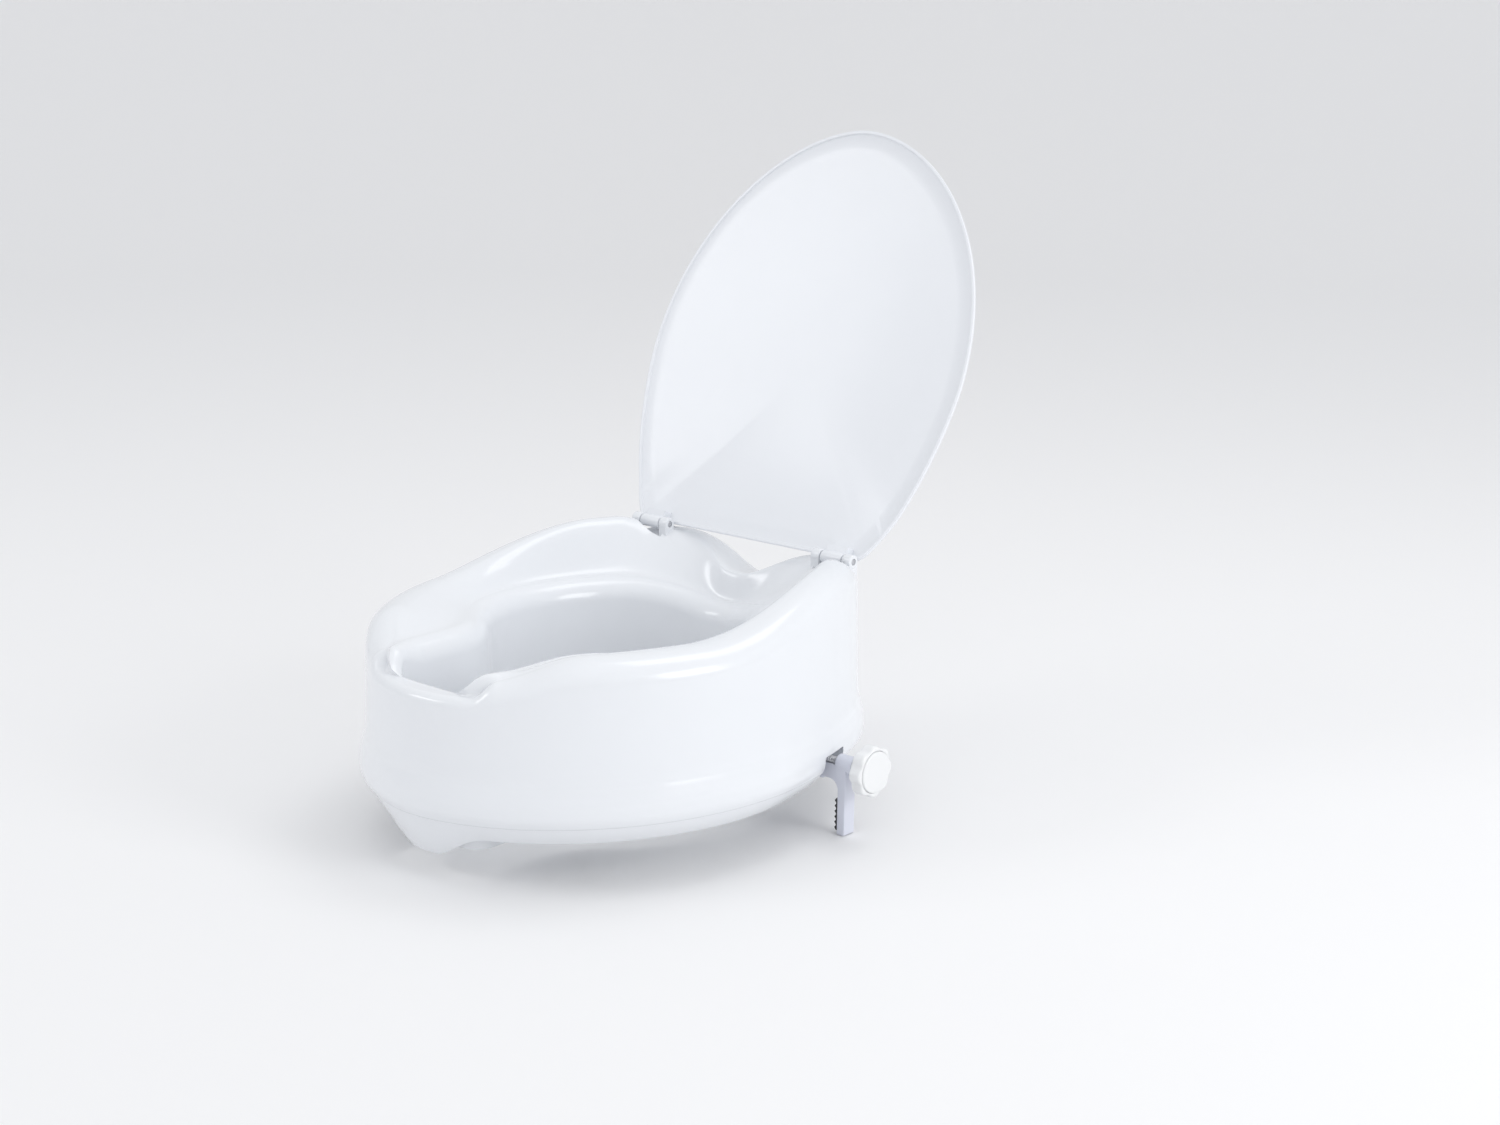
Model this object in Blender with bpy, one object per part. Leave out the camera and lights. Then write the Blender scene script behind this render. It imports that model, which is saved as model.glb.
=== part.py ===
"""A raised toilet seat with a hinged lid and two screw clamps.

Metres, +Z up, the front towards -Y. The origin is the middle of the plane on which the rim pads
rest, which is the top of the toilet's rim. The lid is open and each clamp is screwed in.
"""

import math

import bmesh
import bpy
from mathutils import Vector

# Outline of the seat body
SEAT_WIDTH = 0.360
SEAT_DEPTH = 0.432
WIDEST_Y = 0.005
FRONT_SIDE_POWER = 1.82
FRONT_END_POWER = 2.01
REAR_SIDE_POWER = 3.46
REAR_END_POWER = 1.58
# Heights above the toilet's rim
FRONT_HEIGHT = 0.142
REAR_HEIGHT = 0.170
RISE_FRONT_Y = -0.050
RISE_REAR_Y = 0.130
HINGE_DROP = 0.010
HINGE_DROP_START = 0.150
HINGE_DROP_END = 0.195
INNER_HEIGHT = 0.128
FRONT_SAG = 0.018
SAG_HALF = 0.130
NOTCH_DEPTH = 0.013
NOTCH_FLAT_HALF = 0.053
NOTCH_HALF = 0.072
DIP_DEPTH = 0.026
INNER_DIP_DEPTH = 0.018
DIP_HALF = 0.048
# Opening
OPENING_HALF_WIDTH = 0.104
OPENING_FRONT_MARGIN = 0.024
OPENING_REAR_MARGIN = 0.081
NECK_HALF_WIDTH = 0.046
NECK_CORNER = 0.016
NECK_LENGTH = 0.070
# Section of the seat body
WALL = 0.0035
OUTER_ROUND = 0.024
OUTER_ROUND_RISE = 0.020
NOTCH_ROUND = 0.008
DIP_ROUND = 0.055
INNER_FILLET = 0.018
NOTCH_INNER_FILLET = 0.005
ROUNDS_SHARE = 0.85
BAND_INSET = 0.006
BAND_TOP_Z = 0.013
BAND_DROP = 0.002
BAND_REAR_RISE = 0.0035
BAND_RISE_FRONT_Y = -0.040
BAND_RISE_REAR_Y = 0.100
BAND_OUT = 0.0035
LEDGE = 0.0015
COLLAR_OUT = 0.008
COLLAR_LOW_Z = 0.023
COLLAR_HIGH_Z = 0.030
COLLAR_TOP_Z = 0.050
COLLAR_TOP_OUT = 0.003
LIP_DROP = 0.020
LIP_SLOPE = 0.25
LIP_HALF = 0.062
LIP_FLAT_HALF = 0.012
SKIRT_DROP = 0.016
SKIRT_WALL = 0.004
SKIRT_DRAFT = 0.003
# Stations round half of the outline and rings over the top
NOTCH_STATIONS = 3
CORNER_STATIONS = 4
SIDE_STATIONS = 20
FILLET_STEPS = 4
TOP_STEPS = 5
# Rim pads
PAD_THICK = 0.0032
PAD_LENGTH = 0.040
PAD_WIDTH = 0.016
PAD_MARGIN = 0.004
FRONT_PAD_Y = -0.158
REAR_PAD_Y = 0.185
# Lid and hinges
HINGE_SETBACK = 0.048
HINGE_RISE = 0.004
LID_OPEN = math.radians(114)
LID_THICK = 0.0032
LID_INSET = 0.0055
LID_RISE = 0.0065
LID_BEND_RISE = 0.0040
LID_BEND_LENGTH = 0.045
LID_EDGE_SETBACK = 0.002
LID_RIM_DEPTH = 0.002
LID_RIM_WIDTH = 0.003
LID_DOME = 0.010
LID_CORNER = 0.012
LID_STATIONS = 40
LID_RINGS = 6
HINGE_X = 7 / 24 * SEAT_WIDTH
KNUCKLE_WIDTH = 0.022
EAR_WIDTH = 0.009
EAR_RADIUS = 0.0058
PIN_RADIUS = 0.0025
HINGE_GAP = 0.0012
KNUCKLE_ROOM_RADIUS = 0.0135
# Clamps
CLAMP_Y = 0.087
ARM_WIDTH = 0.0135
ARM_LOW_Z = 0.0068
ARM_HIGH_Z = 0.0192
ARM_INNER_X = SEAT_WIDTH / 2 - 0.0175
TONGUE_INNER_X = SEAT_WIDTH / 2 - 0.054
TONGUE_LOW_Z = 0.0050
TONGUE_HIGH_Z = 0.0115
LEG_OUTER_X = SEAT_WIDTH / 2 + 0.012
LEG_THICK = 0.008
LEG_BOTTOM_Z = -0.040
LEG_END_ROUND = 0.0015
INSIDE_ROUND = 0.009
OUTSIDE_ROUND = 0.005
ARM_END_ROUND = 0.0025
TONGUE_OVERLAP = 0.006
STUD_RADIUS = 0.004
STUD_Z = 0.0200
STUD_INNER_X = SEAT_WIDTH / 2 - 0.062
LUG_RADIUS = 0.0075
LUG_INNER_X = SEAT_WIDTH / 2 + 0.001
LUG_OUTER_X = SEAT_WIDTH / 2 + 0.0175
RING_RADIUS = 0.0053
RING_THICK = 0.0015
WASHER_RADIUS = 0.008
WASHER_THICK = 0.0012
HUB_RADIUS = 0.010
HUB_LENGTH = 0.007
KNOB_RADIUS = 0.0217
KNOB_THICK = 0.0113
KNOB_LOBES = 8
LOBE_DEPTH = 0.0020
CAP_RADIUS = 0.0173
CAP_DEPTH = 0.002
CAP_RISE = 0.0012
NUT_ACROSS = 0.013
NUT_THICK = 0.0065
NUT_X = SEAT_WIDTH / 2 - 0.044
HOUSING_INNER_X = SEAT_WIDTH / 2 - 0.056
HOUSING_OUTER_X = SEAT_WIDTH / 2 - 0.032
HOUSING_WIDTH = 0.028
HOUSING_TOP_Z = 0.032
FLANGE_WIDTH = 0.052
FLANGE_OUTER_X = SEAT_WIDTH / 2 - 0.04
FLANGE_THICK = 0.0028
SCREW_RADIUS = 0.002
SCREW_HEAD_RADIUS = 0.0038
SCREW_HEAD_THICK = 0.0014
SCREW_LENGTH = 0.012
POCKET_INNER_X = SEAT_WIDTH / 2 - 0.07
SLOT_WIDTH = 0.034
SLOT_TOP_Z = 0.0275
GRIP_THICK = 0.003
GRIP_HEIGHT = 0.028
GRIP_TEETH = 6
# Gaps
GAP = 0.0003
SLIDE_GAP = 0.0005

HINGE_SIDES = {"left": -1, "right": 1}
HINGE_Y = SEAT_DEPTH / 2 - HINGE_SETBACK
BOTTOM_Z = PAD_THICK + GAP
KNOB_INNER_X = LUG_OUTER_X + WASHER_THICK + 2 * GAP
KNOB_OUTER_X = KNOB_INNER_X + HUB_LENGTH + KNOB_THICK


def clear_scene():
    for item in list(bpy.data.objects):
        bpy.data.objects.remove(item, do_unlink=True)


def make_collection(name):
    collection = bpy.data.collections.new(name)
    bpy.context.scene.collection.children.link(collection)
    return collection


def make_material(name, colour, roughness, metallic=0.0):
    material = bpy.data.materials.new(name)
    material.use_nodes = True
    shader = material.node_tree.nodes["Principled BSDF"]
    shader.inputs["Base Color"].default_value = (*colour, 1.0)
    shader.inputs["Roughness"].default_value = roughness
    shader.inputs["Metallic"].default_value = metallic
    return material


clear_scene()
PARTS = make_collection("raised_toilet_seat")
CUTTERS = make_collection("cutters")
SHELL_PLASTIC = make_material("shell_plastic", (0.84, 0.87, 0.90), 0.22)
LID_PLASTIC = make_material("lid_plastic", (0.85, 0.88, 0.92), 0.28)
KNOB_PLASTIC = make_material("knob_plastic", (0.88, 0.89, 0.90), 0.30)
BRACKET_PLASTIC = make_material("bracket_plastic", (0.70, 0.72, 0.80), 0.40)
STEEL = make_material("steel", (0.62, 0.63, 0.65), 0.32, 1.0)
GRIP_RUBBER = make_material("grip_rubber", (0.16, 0.16, 0.18), 0.75)
PAD_RUBBER = make_material("pad_rubber", (0.62, 0.64, 0.66), 0.70)


def add_object(name, builder, material, collection=None):
    """Turns a bmesh into an object with its faces pointing out and frees the bmesh."""
    bmesh.ops.recalc_face_normals(builder, faces=builder.faces)
    mesh = bpy.data.meshes.new(name)
    builder.to_mesh(mesh)
    builder.free()
    item = bpy.data.objects.new(name, mesh)
    (collection or PARTS).objects.link(item)
    if material:
        mesh.materials.append(material)
    mesh.shade_smooth()
    mesh.set_sharp_from_angle(angle=math.radians(35))
    return item


def add_cutter(name, builder):
    cutter = add_object(name, builder, None, CUTTERS)
    cutter.hide_render = True
    cutter.display_type = "WIRE"
    return cutter


def combine(item, other, operation):
    modifier = item.modifiers.new(other.name, "BOOLEAN")
    modifier.object = other
    modifier.operation = operation
    modifier.solver = "EXACT"


def box_mesh(low, high):
    builder = bmesh.new()
    bmesh.ops.create_cube(builder, size=1.0)
    centre = (Vector(low) + Vector(high)) / 2
    size = Vector(high) - Vector(low)
    bmesh.ops.scale(builder, vec=size, verts=builder.verts)
    bmesh.ops.translate(builder, vec=centre, verts=builder.verts)
    return builder


def side_box(side, low, high):
    """A box given for the right side, mirrored to the left side where side is -1."""
    if side > 0:
        return box_mesh(low, high)
    return box_mesh((-high[0], low[1], low[2]), (-low[0], high[1], high[2]))


def turned_mesh(profile, segments, side=1):
    """Turns (x, radius) points about the X axis into a closed solid or ring."""
    builder = bmesh.new()
    rings = []
    for x, radius in profile:
        if radius == 0:
            rings.append([builder.verts.new((side * x, 0, 0))])
            continue
        angles = [2 * math.pi * i / segments for i in range(segments)]
        ring = [(side * x, radius * math.cos(a), radius * math.sin(a)) for a in angles]
        rings.append([builder.verts.new(point) for point in ring])
    join_rings(builder, rings, closed=profile[0][1] != 0)
    return builder


def join_rings(builder, rings, closed=False):
    """Skins neighbouring rings, and the last to the first where the section is closed."""
    pairs = list(zip(rings, rings[1:]))
    if closed:
        pairs.append((rings[-1], rings[0]))
    for first, second in pairs:
        count = max(len(first), len(second))
        for i in range(count):
            j = (i + 1) % count
            corners = [first[i % len(first)], first[j % len(first)]]
            corners += [second[j % len(second)], second[i % len(second)]]
            unique = list(dict.fromkeys(corners))
            builder.faces.new(unique)


def smoothstep(low, high, value):
    share = min(1.0, max(0.0, (value - low) / (high - low)))
    return share * share * (3 - 2 * share)


def mix(first, second, share):
    return first + (second - first) * share


# Outlines in plan, each a half from the front centre to the rear centre


def wall_outline(inset=0.0, steps=240):
    """Half of the body's egg-shaped outline at the top of its wall."""
    half_width = SEAT_WIDTH / 2
    points = []
    for i in range(steps + 1):
        angle = math.pi * (i / steps - 0.5)
        across = max(0.0, math.cos(angle))
        along = abs(math.sin(angle))
        if angle < 0:
            x = half_width * across ** (2 / FRONT_SIDE_POWER)
            y = WIDEST_Y - (WIDEST_Y + SEAT_DEPTH / 2) * along ** (2 / FRONT_END_POWER)
        else:
            x = half_width * across ** (2 / REAR_SIDE_POWER)
            y = WIDEST_Y + (SEAT_DEPTH / 2 - WIDEST_Y) * along ** (2 / REAR_END_POWER)
        points.append(Vector((x, y)))
    points[0].x = 0.0
    points[-1].x = 0.0
    if inset:
        shifted = [p - n * inset for p, n in zip(points, normals(points))]
        points = [p for p in shifted if p.x >= 0]
    return points


def bezier(start, start_handle, end_handle, end, steps=40):
    points = []
    for i in range(steps + 1):
        t = i / steps
        s = 1 - t
        weights = (s**3, 3 * s * s * t, 3 * s * t * t, t**3)
        corners = (start, start_handle, end_handle, end)
        points.append(sum((Vector(c) * w for c, w in zip(corners, weights)), Vector((0, 0))))
    return points


def opening_outline():
    """Half of the keyhole opening: front edge, neck corner, neck side and oval."""
    front = -SEAT_DEPTH / 2 + OPENING_FRONT_MARGIN
    rear = SEAT_DEPTH / 2 - OPENING_REAR_MARGIN
    neck, wide, corner = NECK_HALF_WIDTH, OPENING_HALF_WIDTH, NECK_CORNER
    neck_end = front + NECK_LENGTH
    edge = bezier((0, front), (neck / 3, front), (neck / 2, front), (neck - corner, front + 0.001))
    turn = bezier(edge[-1], (neck - corner / 2, front + 0.0015), (neck, front + corner / 2),
                  (neck, front + corner + 0.002))
    side = bezier(turn[-1], (neck, neck_end - 0.03), (neck, neck_end - 0.02), (neck, neck_end))
    flare = bezier(side[-1], (neck, neck_end + 0.060), (wide, WIDEST_Y - 0.070), (wide, WIDEST_Y))
    back = bezier(flare[-1], (wide, WIDEST_Y + 0.078), (wide * 0.52, rear), (0, rear))
    return edge + turn[1:], side[1:] + flare[1:] + back[1:]


def normals(points):
    """Unit normals pointing away from the middle of the seat."""
    found = []
    for i, point in enumerate(points):
        before = points[max(0, i - 1)]
        after = points[min(len(points) - 1, i + 1)]
        along = after - before
        found.append(Vector((along.y, -along.x)).normalized())
    found[0] = Vector((0, -1))
    found[-1] = Vector((0, 1))
    return found


def resample(points, count):
    """count + 1 points evenly spaced along a polyline, both ends included."""
    lengths = [0.0]
    for a, b in zip(points, points[1:]):
        lengths.append(lengths[-1] + (b - a).length)
    found = []
    index = 0
    for i in range(count + 1):
        target = lengths[-1] * i / count
        while index < len(points) - 2 and lengths[index + 1] < target:
            index += 1
        span = lengths[index + 1] - lengths[index]
        share = (target - lengths[index]) / span if span else 0.0
        found.append(points[index].lerp(points[index + 1], min(1.0, share)))
    return found


def split_at_x(points, limit):
    """Splits a front-to-rear half outline where its x first passes the limit."""
    for i, point in enumerate(points):
        if point.x > limit:
            before = points[i - 1]
            share = (limit - before.x) / (point.x - before.x)
            cut = before.lerp(point, share)
            return points[:i] + [cut], [cut] + points[i:]
    return points, points[-1:]


def stations():
    """Matching (outer point, outer normal, inner point, inner normal) rows for half of the body."""
    outer = wall_outline()
    flat, rest = split_at_x(outer, NOTCH_FLAT_HALF)
    corner, side = split_at_x(rest, NOTCH_HALF + 0.004)
    outer = resample(flat, NOTCH_STATIONS) + resample(corner, CORNER_STATIONS)[1:]
    outer += resample(side, SIDE_STATIONS)[1:]
    front, back = opening_outline()
    flat, turn = split_at_x(front, NECK_HALF_WIDTH - NECK_CORNER)
    inner = resample(flat, NOTCH_STATIONS) + resample(turn, CORNER_STATIONS)[1:]
    inner += resample([inner[-1]] + back, SIDE_STATIONS)[1:]
    outer[-1].x = 0.0
    inner[-1].x = 0.0
    return list(zip(outer, normals(outer), inner, normals(inner)))


# Heights


def notch_share(point):
    if point.y > 0:
        return 0.0
    return 1 - smoothstep(NOTCH_FLAT_HALF, NOTCH_HALF, abs(point.x))


def sag_share(point):
    if point.y > 0:
        return 0.0
    return 1 - smoothstep(NOTCH_HALF - 0.005, SAG_HALF, abs(point.x))


def dip_share(point):
    if point.y < 0:
        return 0.0
    return math.exp(-((point.x / DIP_HALF) ** 2)) * smoothstep(0.0, 0.12, point.y)


def crest_height(y):
    """The height of the seat's ridge beside the wall: level, up to the shoulders, down to the hinges."""
    rise = smoothstep(RISE_FRONT_Y, RISE_REAR_Y, y)
    return mix(FRONT_HEIGHT, REAR_HEIGHT, rise) - HINGE_DROP * smoothstep(HINGE_DROP_START, HINGE_DROP_END, y)


def outer_height(point):
    lowered = FRONT_SAG * sag_share(point) + NOTCH_DEPTH * notch_share(point)
    return crest_height(point.y) - lowered - DIP_DEPTH * dip_share(point)


def inner_height(point, notch):
    notch_drop = INNER_HEIGHT - FRONT_HEIGHT + FRONT_SAG + NOTCH_DEPTH
    return INNER_HEIGHT - notch_drop * notch - INNER_DIP_DEPTH * dip_share(point)


def lip_share(point):
    if point.y > 0:
        return 0.0
    return 1 - smoothstep(LIP_FLAT_HALF, LIP_HALF, abs(point.x))


# Seat body


def round_points(start, inward, top, reach, rise, inset):
    """A quarter of an ellipse from a wall up to the top, kept inside the wall by the inset."""
    points = []
    for i in range(FILLET_STEPS + 1):
        angle = math.pi / 2 * i / FILLET_STEPS
        across = inset + (reach - inset) * (1 - math.cos(angle))
        plan = start + inward * across
        points.append((plan.x, plan.y, top - rise + (rise - inset) * math.sin(angle)))
    return points


def top_section(outer, outward, inner, away, inset):
    """The rounds and the contoured top, from the outer wall to the wall of the opening."""
    notch = notch_share(outer)
    reach = mix(mix(OUTER_ROUND, DIP_ROUND, dip_share(outer)), NOTCH_ROUND, notch)
    rise = mix(OUTER_ROUND_RISE, NOTCH_ROUND, notch)
    inner_radius = mix(INNER_FILLET, NOTCH_INNER_FILLET, notch)
    fit = min(1.0, ROUNDS_SHARE * (outer - inner).length / (reach + inner_radius))
    reach *= fit
    inner_radius *= fit
    high = outer_height(outer)
    low = inner_height(inner, notch)
    section = round_points(outer, -outward, high, reach, rise, inset)
    start = outer - outward * reach
    end = inner + away * inner_radius
    for i in range(1, TOP_STEPS):
        share = i / TOP_STEPS
        plan = start.lerp(end, share)
        section.append((plan.x, plan.y, mix(high, low, smoothstep(0, 1, share)) - inset))
    rounding = round_points(inner, away, low, inner_radius, inner_radius, inset)
    return section + rounding[::-1]


def at_offset(point, direction, distance, height):
    plan = point + direction * distance
    return (plan.x, plan.y, height)


def body_section(outer, outward, inner, away):
    """The closed section of the body at one station, from the band's lower edge outwards."""
    lip = LIP_DROP * lip_share(outer)
    rise = BAND_REAR_RISE * smoothstep(BAND_RISE_FRONT_Y, BAND_RISE_REAR_Y, outer.y)
    edge_z = rise - BAND_DROP - lip
    edge_in = -BAND_INSET - LIP_SLOPE * lip
    section = [
        at_offset(outer, outward, edge_in, edge_z),
        at_offset(outer, outward, BAND_OUT, BAND_TOP_Z),
        at_offset(outer, outward, BAND_OUT + LEDGE, BAND_TOP_Z + LEDGE / 2),
        at_offset(outer, outward, COLLAR_OUT, COLLAR_LOW_Z),
        at_offset(outer, outward, COLLAR_OUT, COLLAR_HIGH_Z),
        at_offset(outer, outward, COLLAR_TOP_OUT, COLLAR_TOP_Z),
    ]
    section += top_section(outer, outward, inner, away, 0.0)
    foot = inner - away * SKIRT_DRAFT
    section += [
        at_offset(foot, away, 0.0, -SKIRT_DROP),
        at_offset(foot, away, SKIRT_WALL, -SKIRT_DROP),
        at_offset(foot, away, SKIRT_WALL + SKIRT_DRAFT / 2, BOTTOM_Z),
        at_offset(outer, outward, -BAND_INSET - 2 * WALL, BOTTOM_Z),
        at_offset(outer, outward, edge_in - WALL, edge_z),
    ]
    return section


def hollow_section(outer, outward, inner, away):
    """The closed section of the cavity inside the blow-moulded body."""
    floor = BOTTOM_Z + WALL
    section = [
        at_offset(outer, outward, -BAND_INSET - WALL, floor),
        at_offset(outer, outward, COLLAR_TOP_OUT - WALL, COLLAR_TOP_Z),
    ]
    section += top_section(outer, outward, inner, away, WALL)
    section.append(at_offset(inner, away, SKIRT_WALL + WALL / 2, floor))
    return section


def loft_round(section_of):
    """Skins the sections of all the stations, the left half being the right one mirrored."""
    right = [section_of(*row) for row in stations()]
    left = [[(-x, y, z) for x, y, z in section] for section in right[-2:0:-1]]
    builder = bmesh.new()
    rings = [[builder.verts.new(point) for point in section] for section in right + left]
    join_rings(builder, rings, closed=True)
    return builder


def hinge_z():
    return REAR_HEIGHT - HINGE_DROP + HINGE_RISE


def ear_builder(centre_x, width):
    """A hinge ear: a barrel round the pin on a web that runs down into the body."""
    builder = turned_mesh([(-width / 2, 0), (-width / 2, EAR_RADIUS),
                           (width / 2, EAR_RADIUS), (width / 2, 0)], 16)
    bmesh.ops.translate(builder, vec=(centre_x, HINGE_Y, hinge_z()), verts=builder.verts)
    return builder


def web_builder(centre_x, width):
    half = width / 2 - GAP
    reach = EAR_RADIUS * 0.92
    low = (centre_x - half, HINGE_Y - reach, INNER_HEIGHT - WALL)
    high = (centre_x + half, HINGE_Y + reach, hinge_z() + GAP)
    return box_mesh(low, high)


def pin_bore(name, centre_x, length):
    radius = PIN_RADIUS + GAP
    builder = turned_mesh([(-length / 2, 0), (-length / 2, radius),
                           (length / 2, radius), (length / 2, 0)], 16)
    bmesh.ops.translate(builder, vec=(centre_x, HINGE_Y, hinge_z()), verts=builder.verts)
    return add_cutter(name, builder)


def ear_offset():
    return (KNUCKLE_WIDTH + EAR_WIDTH) / 2 + HINGE_GAP


def hinge_reach():
    return KNUCKLE_WIDTH + 2 * (EAR_WIDTH + HINGE_GAP)


def add_ears(body, side_name, side):
    for place, shift in (("inner", -1), ("outer", 1)):
        centre = side * (HINGE_X + shift * ear_offset())
        name = f"ear_{side_name}_{place}"
        combine(body, add_cutter(name, ear_builder(centre, EAR_WIDTH)), "UNION")
        combine(body, add_cutter(name + "_web", web_builder(centre, EAR_WIDTH)), "UNION")


def clear_knuckle(body, side_name, side):
    """Room for the lid's knuckle to turn; the ears are added over the two ends of it."""
    half = (KNUCKLE_WIDTH + EAR_WIDTH) / 2 + HINGE_GAP
    radius = KNUCKLE_ROOM_RADIUS
    builder = turned_mesh([(-half, 0), (-half, radius), (half, radius), (half, 0)], 18)
    bmesh.ops.translate(builder, vec=(side * HINGE_X, HINGE_Y, hinge_z()), verts=builder.verts)
    combine(body, add_cutter(f"knuckle_room_{side_name}", builder), "DIFFERENCE")


def cut_clamp_pocket(body, side_name, side):
    """The pocket in the underside for the housing and the slot through the collar."""
    half = HOUSING_WIDTH / 2 + GAP
    low = (POCKET_INNER_X, CLAMP_Y - half, -0.03)
    high = (HOUSING_OUTER_X + GAP, CLAMP_Y + half, HOUSING_TOP_Z + GAP)
    combine(body, add_cutter(f"pocket_{side_name}", side_box(side, low, high)), "DIFFERENCE")
    low = (HOUSING_OUTER_X - GAP, CLAMP_Y - SLOT_WIDTH / 2, -0.03)
    high = (SEAT_WIDTH / 2 + 0.03, CLAMP_Y + SLOT_WIDTH / 2, SLOT_TOP_Z)
    combine(body, add_cutter(f"slot_{side_name}", side_box(side, low, high)), "DIFFERENCE")


def cut_screw_hole(body, name, x, y):
    hole = upright_cylinder(x, y, BOTTOM_Z - 0.01, BOTTOM_Z + SCREW_LENGTH, SCREW_RADIUS + GAP)
    combine(body, add_cutter(name, hole), "DIFFERENCE")


def upright_cylinder(x, y, low, high, radius, segments=12):
    builder = bmesh.new()
    bmesh.ops.create_cone(builder, cap_ends=True, segments=segments, radius1=radius,
                          radius2=radius, depth=high - low)
    bmesh.ops.translate(builder, vec=(x, y, (low + high) / 2), verts=builder.verts)
    return builder


def screw_places(side):
    x = side * (HOUSING_INNER_X + FLANGE_OUTER_X) / 2
    reach = (HOUSING_WIDTH + FLANGE_WIDTH) / 4
    return {"front": (x, CLAMP_Y - reach), "rear": (x, CLAMP_Y + reach)}


def make_body():
    body = add_object("seat_body", loft_round(body_section), SHELL_PLASTIC)
    hollow = add_cutter("hollow", loft_round(hollow_section))
    combine(body, hollow, "DIFFERENCE")
    for side_name, side in HINGE_SIDES.items():
        clear_knuckle(body, side_name, side)
        add_ears(body, side_name, side)
        bore = pin_bore(f"bore_{side_name}", side * HINGE_X, hinge_reach() + 0.01)
        combine(body, bore, "DIFFERENCE")
        cut_clamp_pocket(body, side_name, side)
        for place, (x, y) in screw_places(side).items():
            cut_screw_hole(body, f"screw_hole_{side_name}_{place}", x, y)
    return body


# Rim pads


def pad_place(y):
    """A pad's centre beside the band where the wall passes y, and the pad's turn to follow the wall."""
    outline = wall_outline()
    index = min(range(len(outline)), key=lambda i: abs(outline[i].y - y))
    outward = normals(outline)[index]
    inset = BAND_INSET + 2 * WALL + PAD_MARGIN + PAD_WIDTH / 2
    return outline[index] - outward * inset, math.atan2(-outward.x, outward.y)


def make_pad(name, centre, turn):
    builder = box_mesh((-PAD_LENGTH / 2, -PAD_WIDTH / 2, 0), (PAD_LENGTH / 2, PAD_WIDTH / 2, PAD_THICK))
    upright = [e for e in builder.edges if abs(e.verts[0].co.z - e.verts[1].co.z) > PAD_THICK / 2]
    bmesh.ops.bevel(builder, geom=upright, offset=PAD_WIDTH * 0.4, segments=4, profile=0.5, affect="EDGES")
    pad = add_object(name, builder, PAD_RUBBER)
    pad.location = (centre[0], centre[1], 0)
    pad.rotation_euler = (0, 0, turn)


def make_pads():
    for place, y in (("front", FRONT_PAD_Y), ("rear", REAR_PAD_Y)):
        centre, turn = pad_place(y)
        for side_name, side in HINGE_SIDES.items():
            make_pad(f"rim_pad_{place}_{side_name}", (side * centre.x, centre.y), side * turn)


# Lid, modelled closed with its hinge axis at the origin and then turned open


def lid_outline():
    """Half of the lid's outline, front centre to the straight rear edge, about the hinge."""
    edge_y = HINGE_Y - LID_EDGE_SETBACK
    points = [p for p in wall_outline(LID_INSET) if p.y < edge_y - LID_CORNER]
    last = points[-1]
    corner = bezier(last, (last.x - 0.004, edge_y - LID_CORNER * 0.4),
                    (last.x - LID_CORNER * 0.7, edge_y), (last.x - LID_CORNER * 1.3, edge_y), 6)
    edge = [corner[-1], Vector((0, edge_y))]
    outline = resample(points + corner[1:], LID_STATIONS // 2 - 4) + resample(edge, 4)[1:]
    outline[0].x = 0.0
    outline[-1].x = 0.0
    return [Vector((p.x, p.y - HINGE_Y)) for p in outline]


def lid_layer(centre, share, height):
    """A ring of the lid's outline drawn in towards the centre."""
    half = [centre.lerp(p, share) for p in lid_outline()]
    right = [(p.x, p.y, height + lid_bend(p.y)) for p in half]
    left = [(-p.x, p.y, height + lid_bend(p.y)) for p in half[-2:0:-1]]
    return right + left


def lid_bend(y):
    """The rise of the lid's plate in front of the hinges, which carries it over the seat's shoulders."""
    return LID_BEND_RISE * smoothstep(0, LID_BEND_LENGTH, -y)


def make_lid():
    centre = Vector((0.0, (WIDEST_Y - HINGE_Y)))
    rim_share = 1 - LID_RIM_WIDTH / (SEAT_WIDTH / 2)
    floor = LID_RISE + LID_RIM_DEPTH
    layers = [lid_layer(centre, rim_share, LID_RISE)]
    layers.append(lid_layer(centre, 1.0, LID_RISE))
    layers.append(lid_layer(centre, 1.0, floor + LID_THICK * 0.4))
    for i in range(LID_RINGS, 0, -1):
        share = rim_share * i / LID_RINGS
        layers.append(lid_layer(centre, share, floor + LID_THICK + LID_DOME * (1 - share * share)))
    top_rings = len(layers)
    for i in range(1, LID_RINGS + 1):
        share = rim_share * i / LID_RINGS
        layers.append(lid_layer(centre, share, floor + LID_DOME * (1 - share * share)))
    builder = bmesh.new()
    rings = [[builder.verts.new(point) for point in layer] for layer in layers]
    join_rings(builder, rings[:top_rings])
    join_rings(builder, rings[top_rings:])
    join_rings(builder, [rings[-1], rings[0]])
    ends = ((rings[top_rings - 1], floor + LID_THICK + LID_DOME), (rings[top_rings], floor + LID_DOME))
    for ring, height in ends:
        tip = builder.verts.new((centre.x, centre.y, height + lid_bend(centre.y)))
        for first, second in zip(ring, ring[1:] + ring[:1]):
            builder.faces.new((first, second, tip))
    lid = add_object("lid", builder, LID_PLASTIC)
    lid.location = (0, HINGE_Y, hinge_z())
    lid.rotation_euler = (-LID_OPEN, 0, 0)
    for side_name, side in HINGE_SIDES.items():
        add_knuckle(lid, side_name, side)


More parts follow.
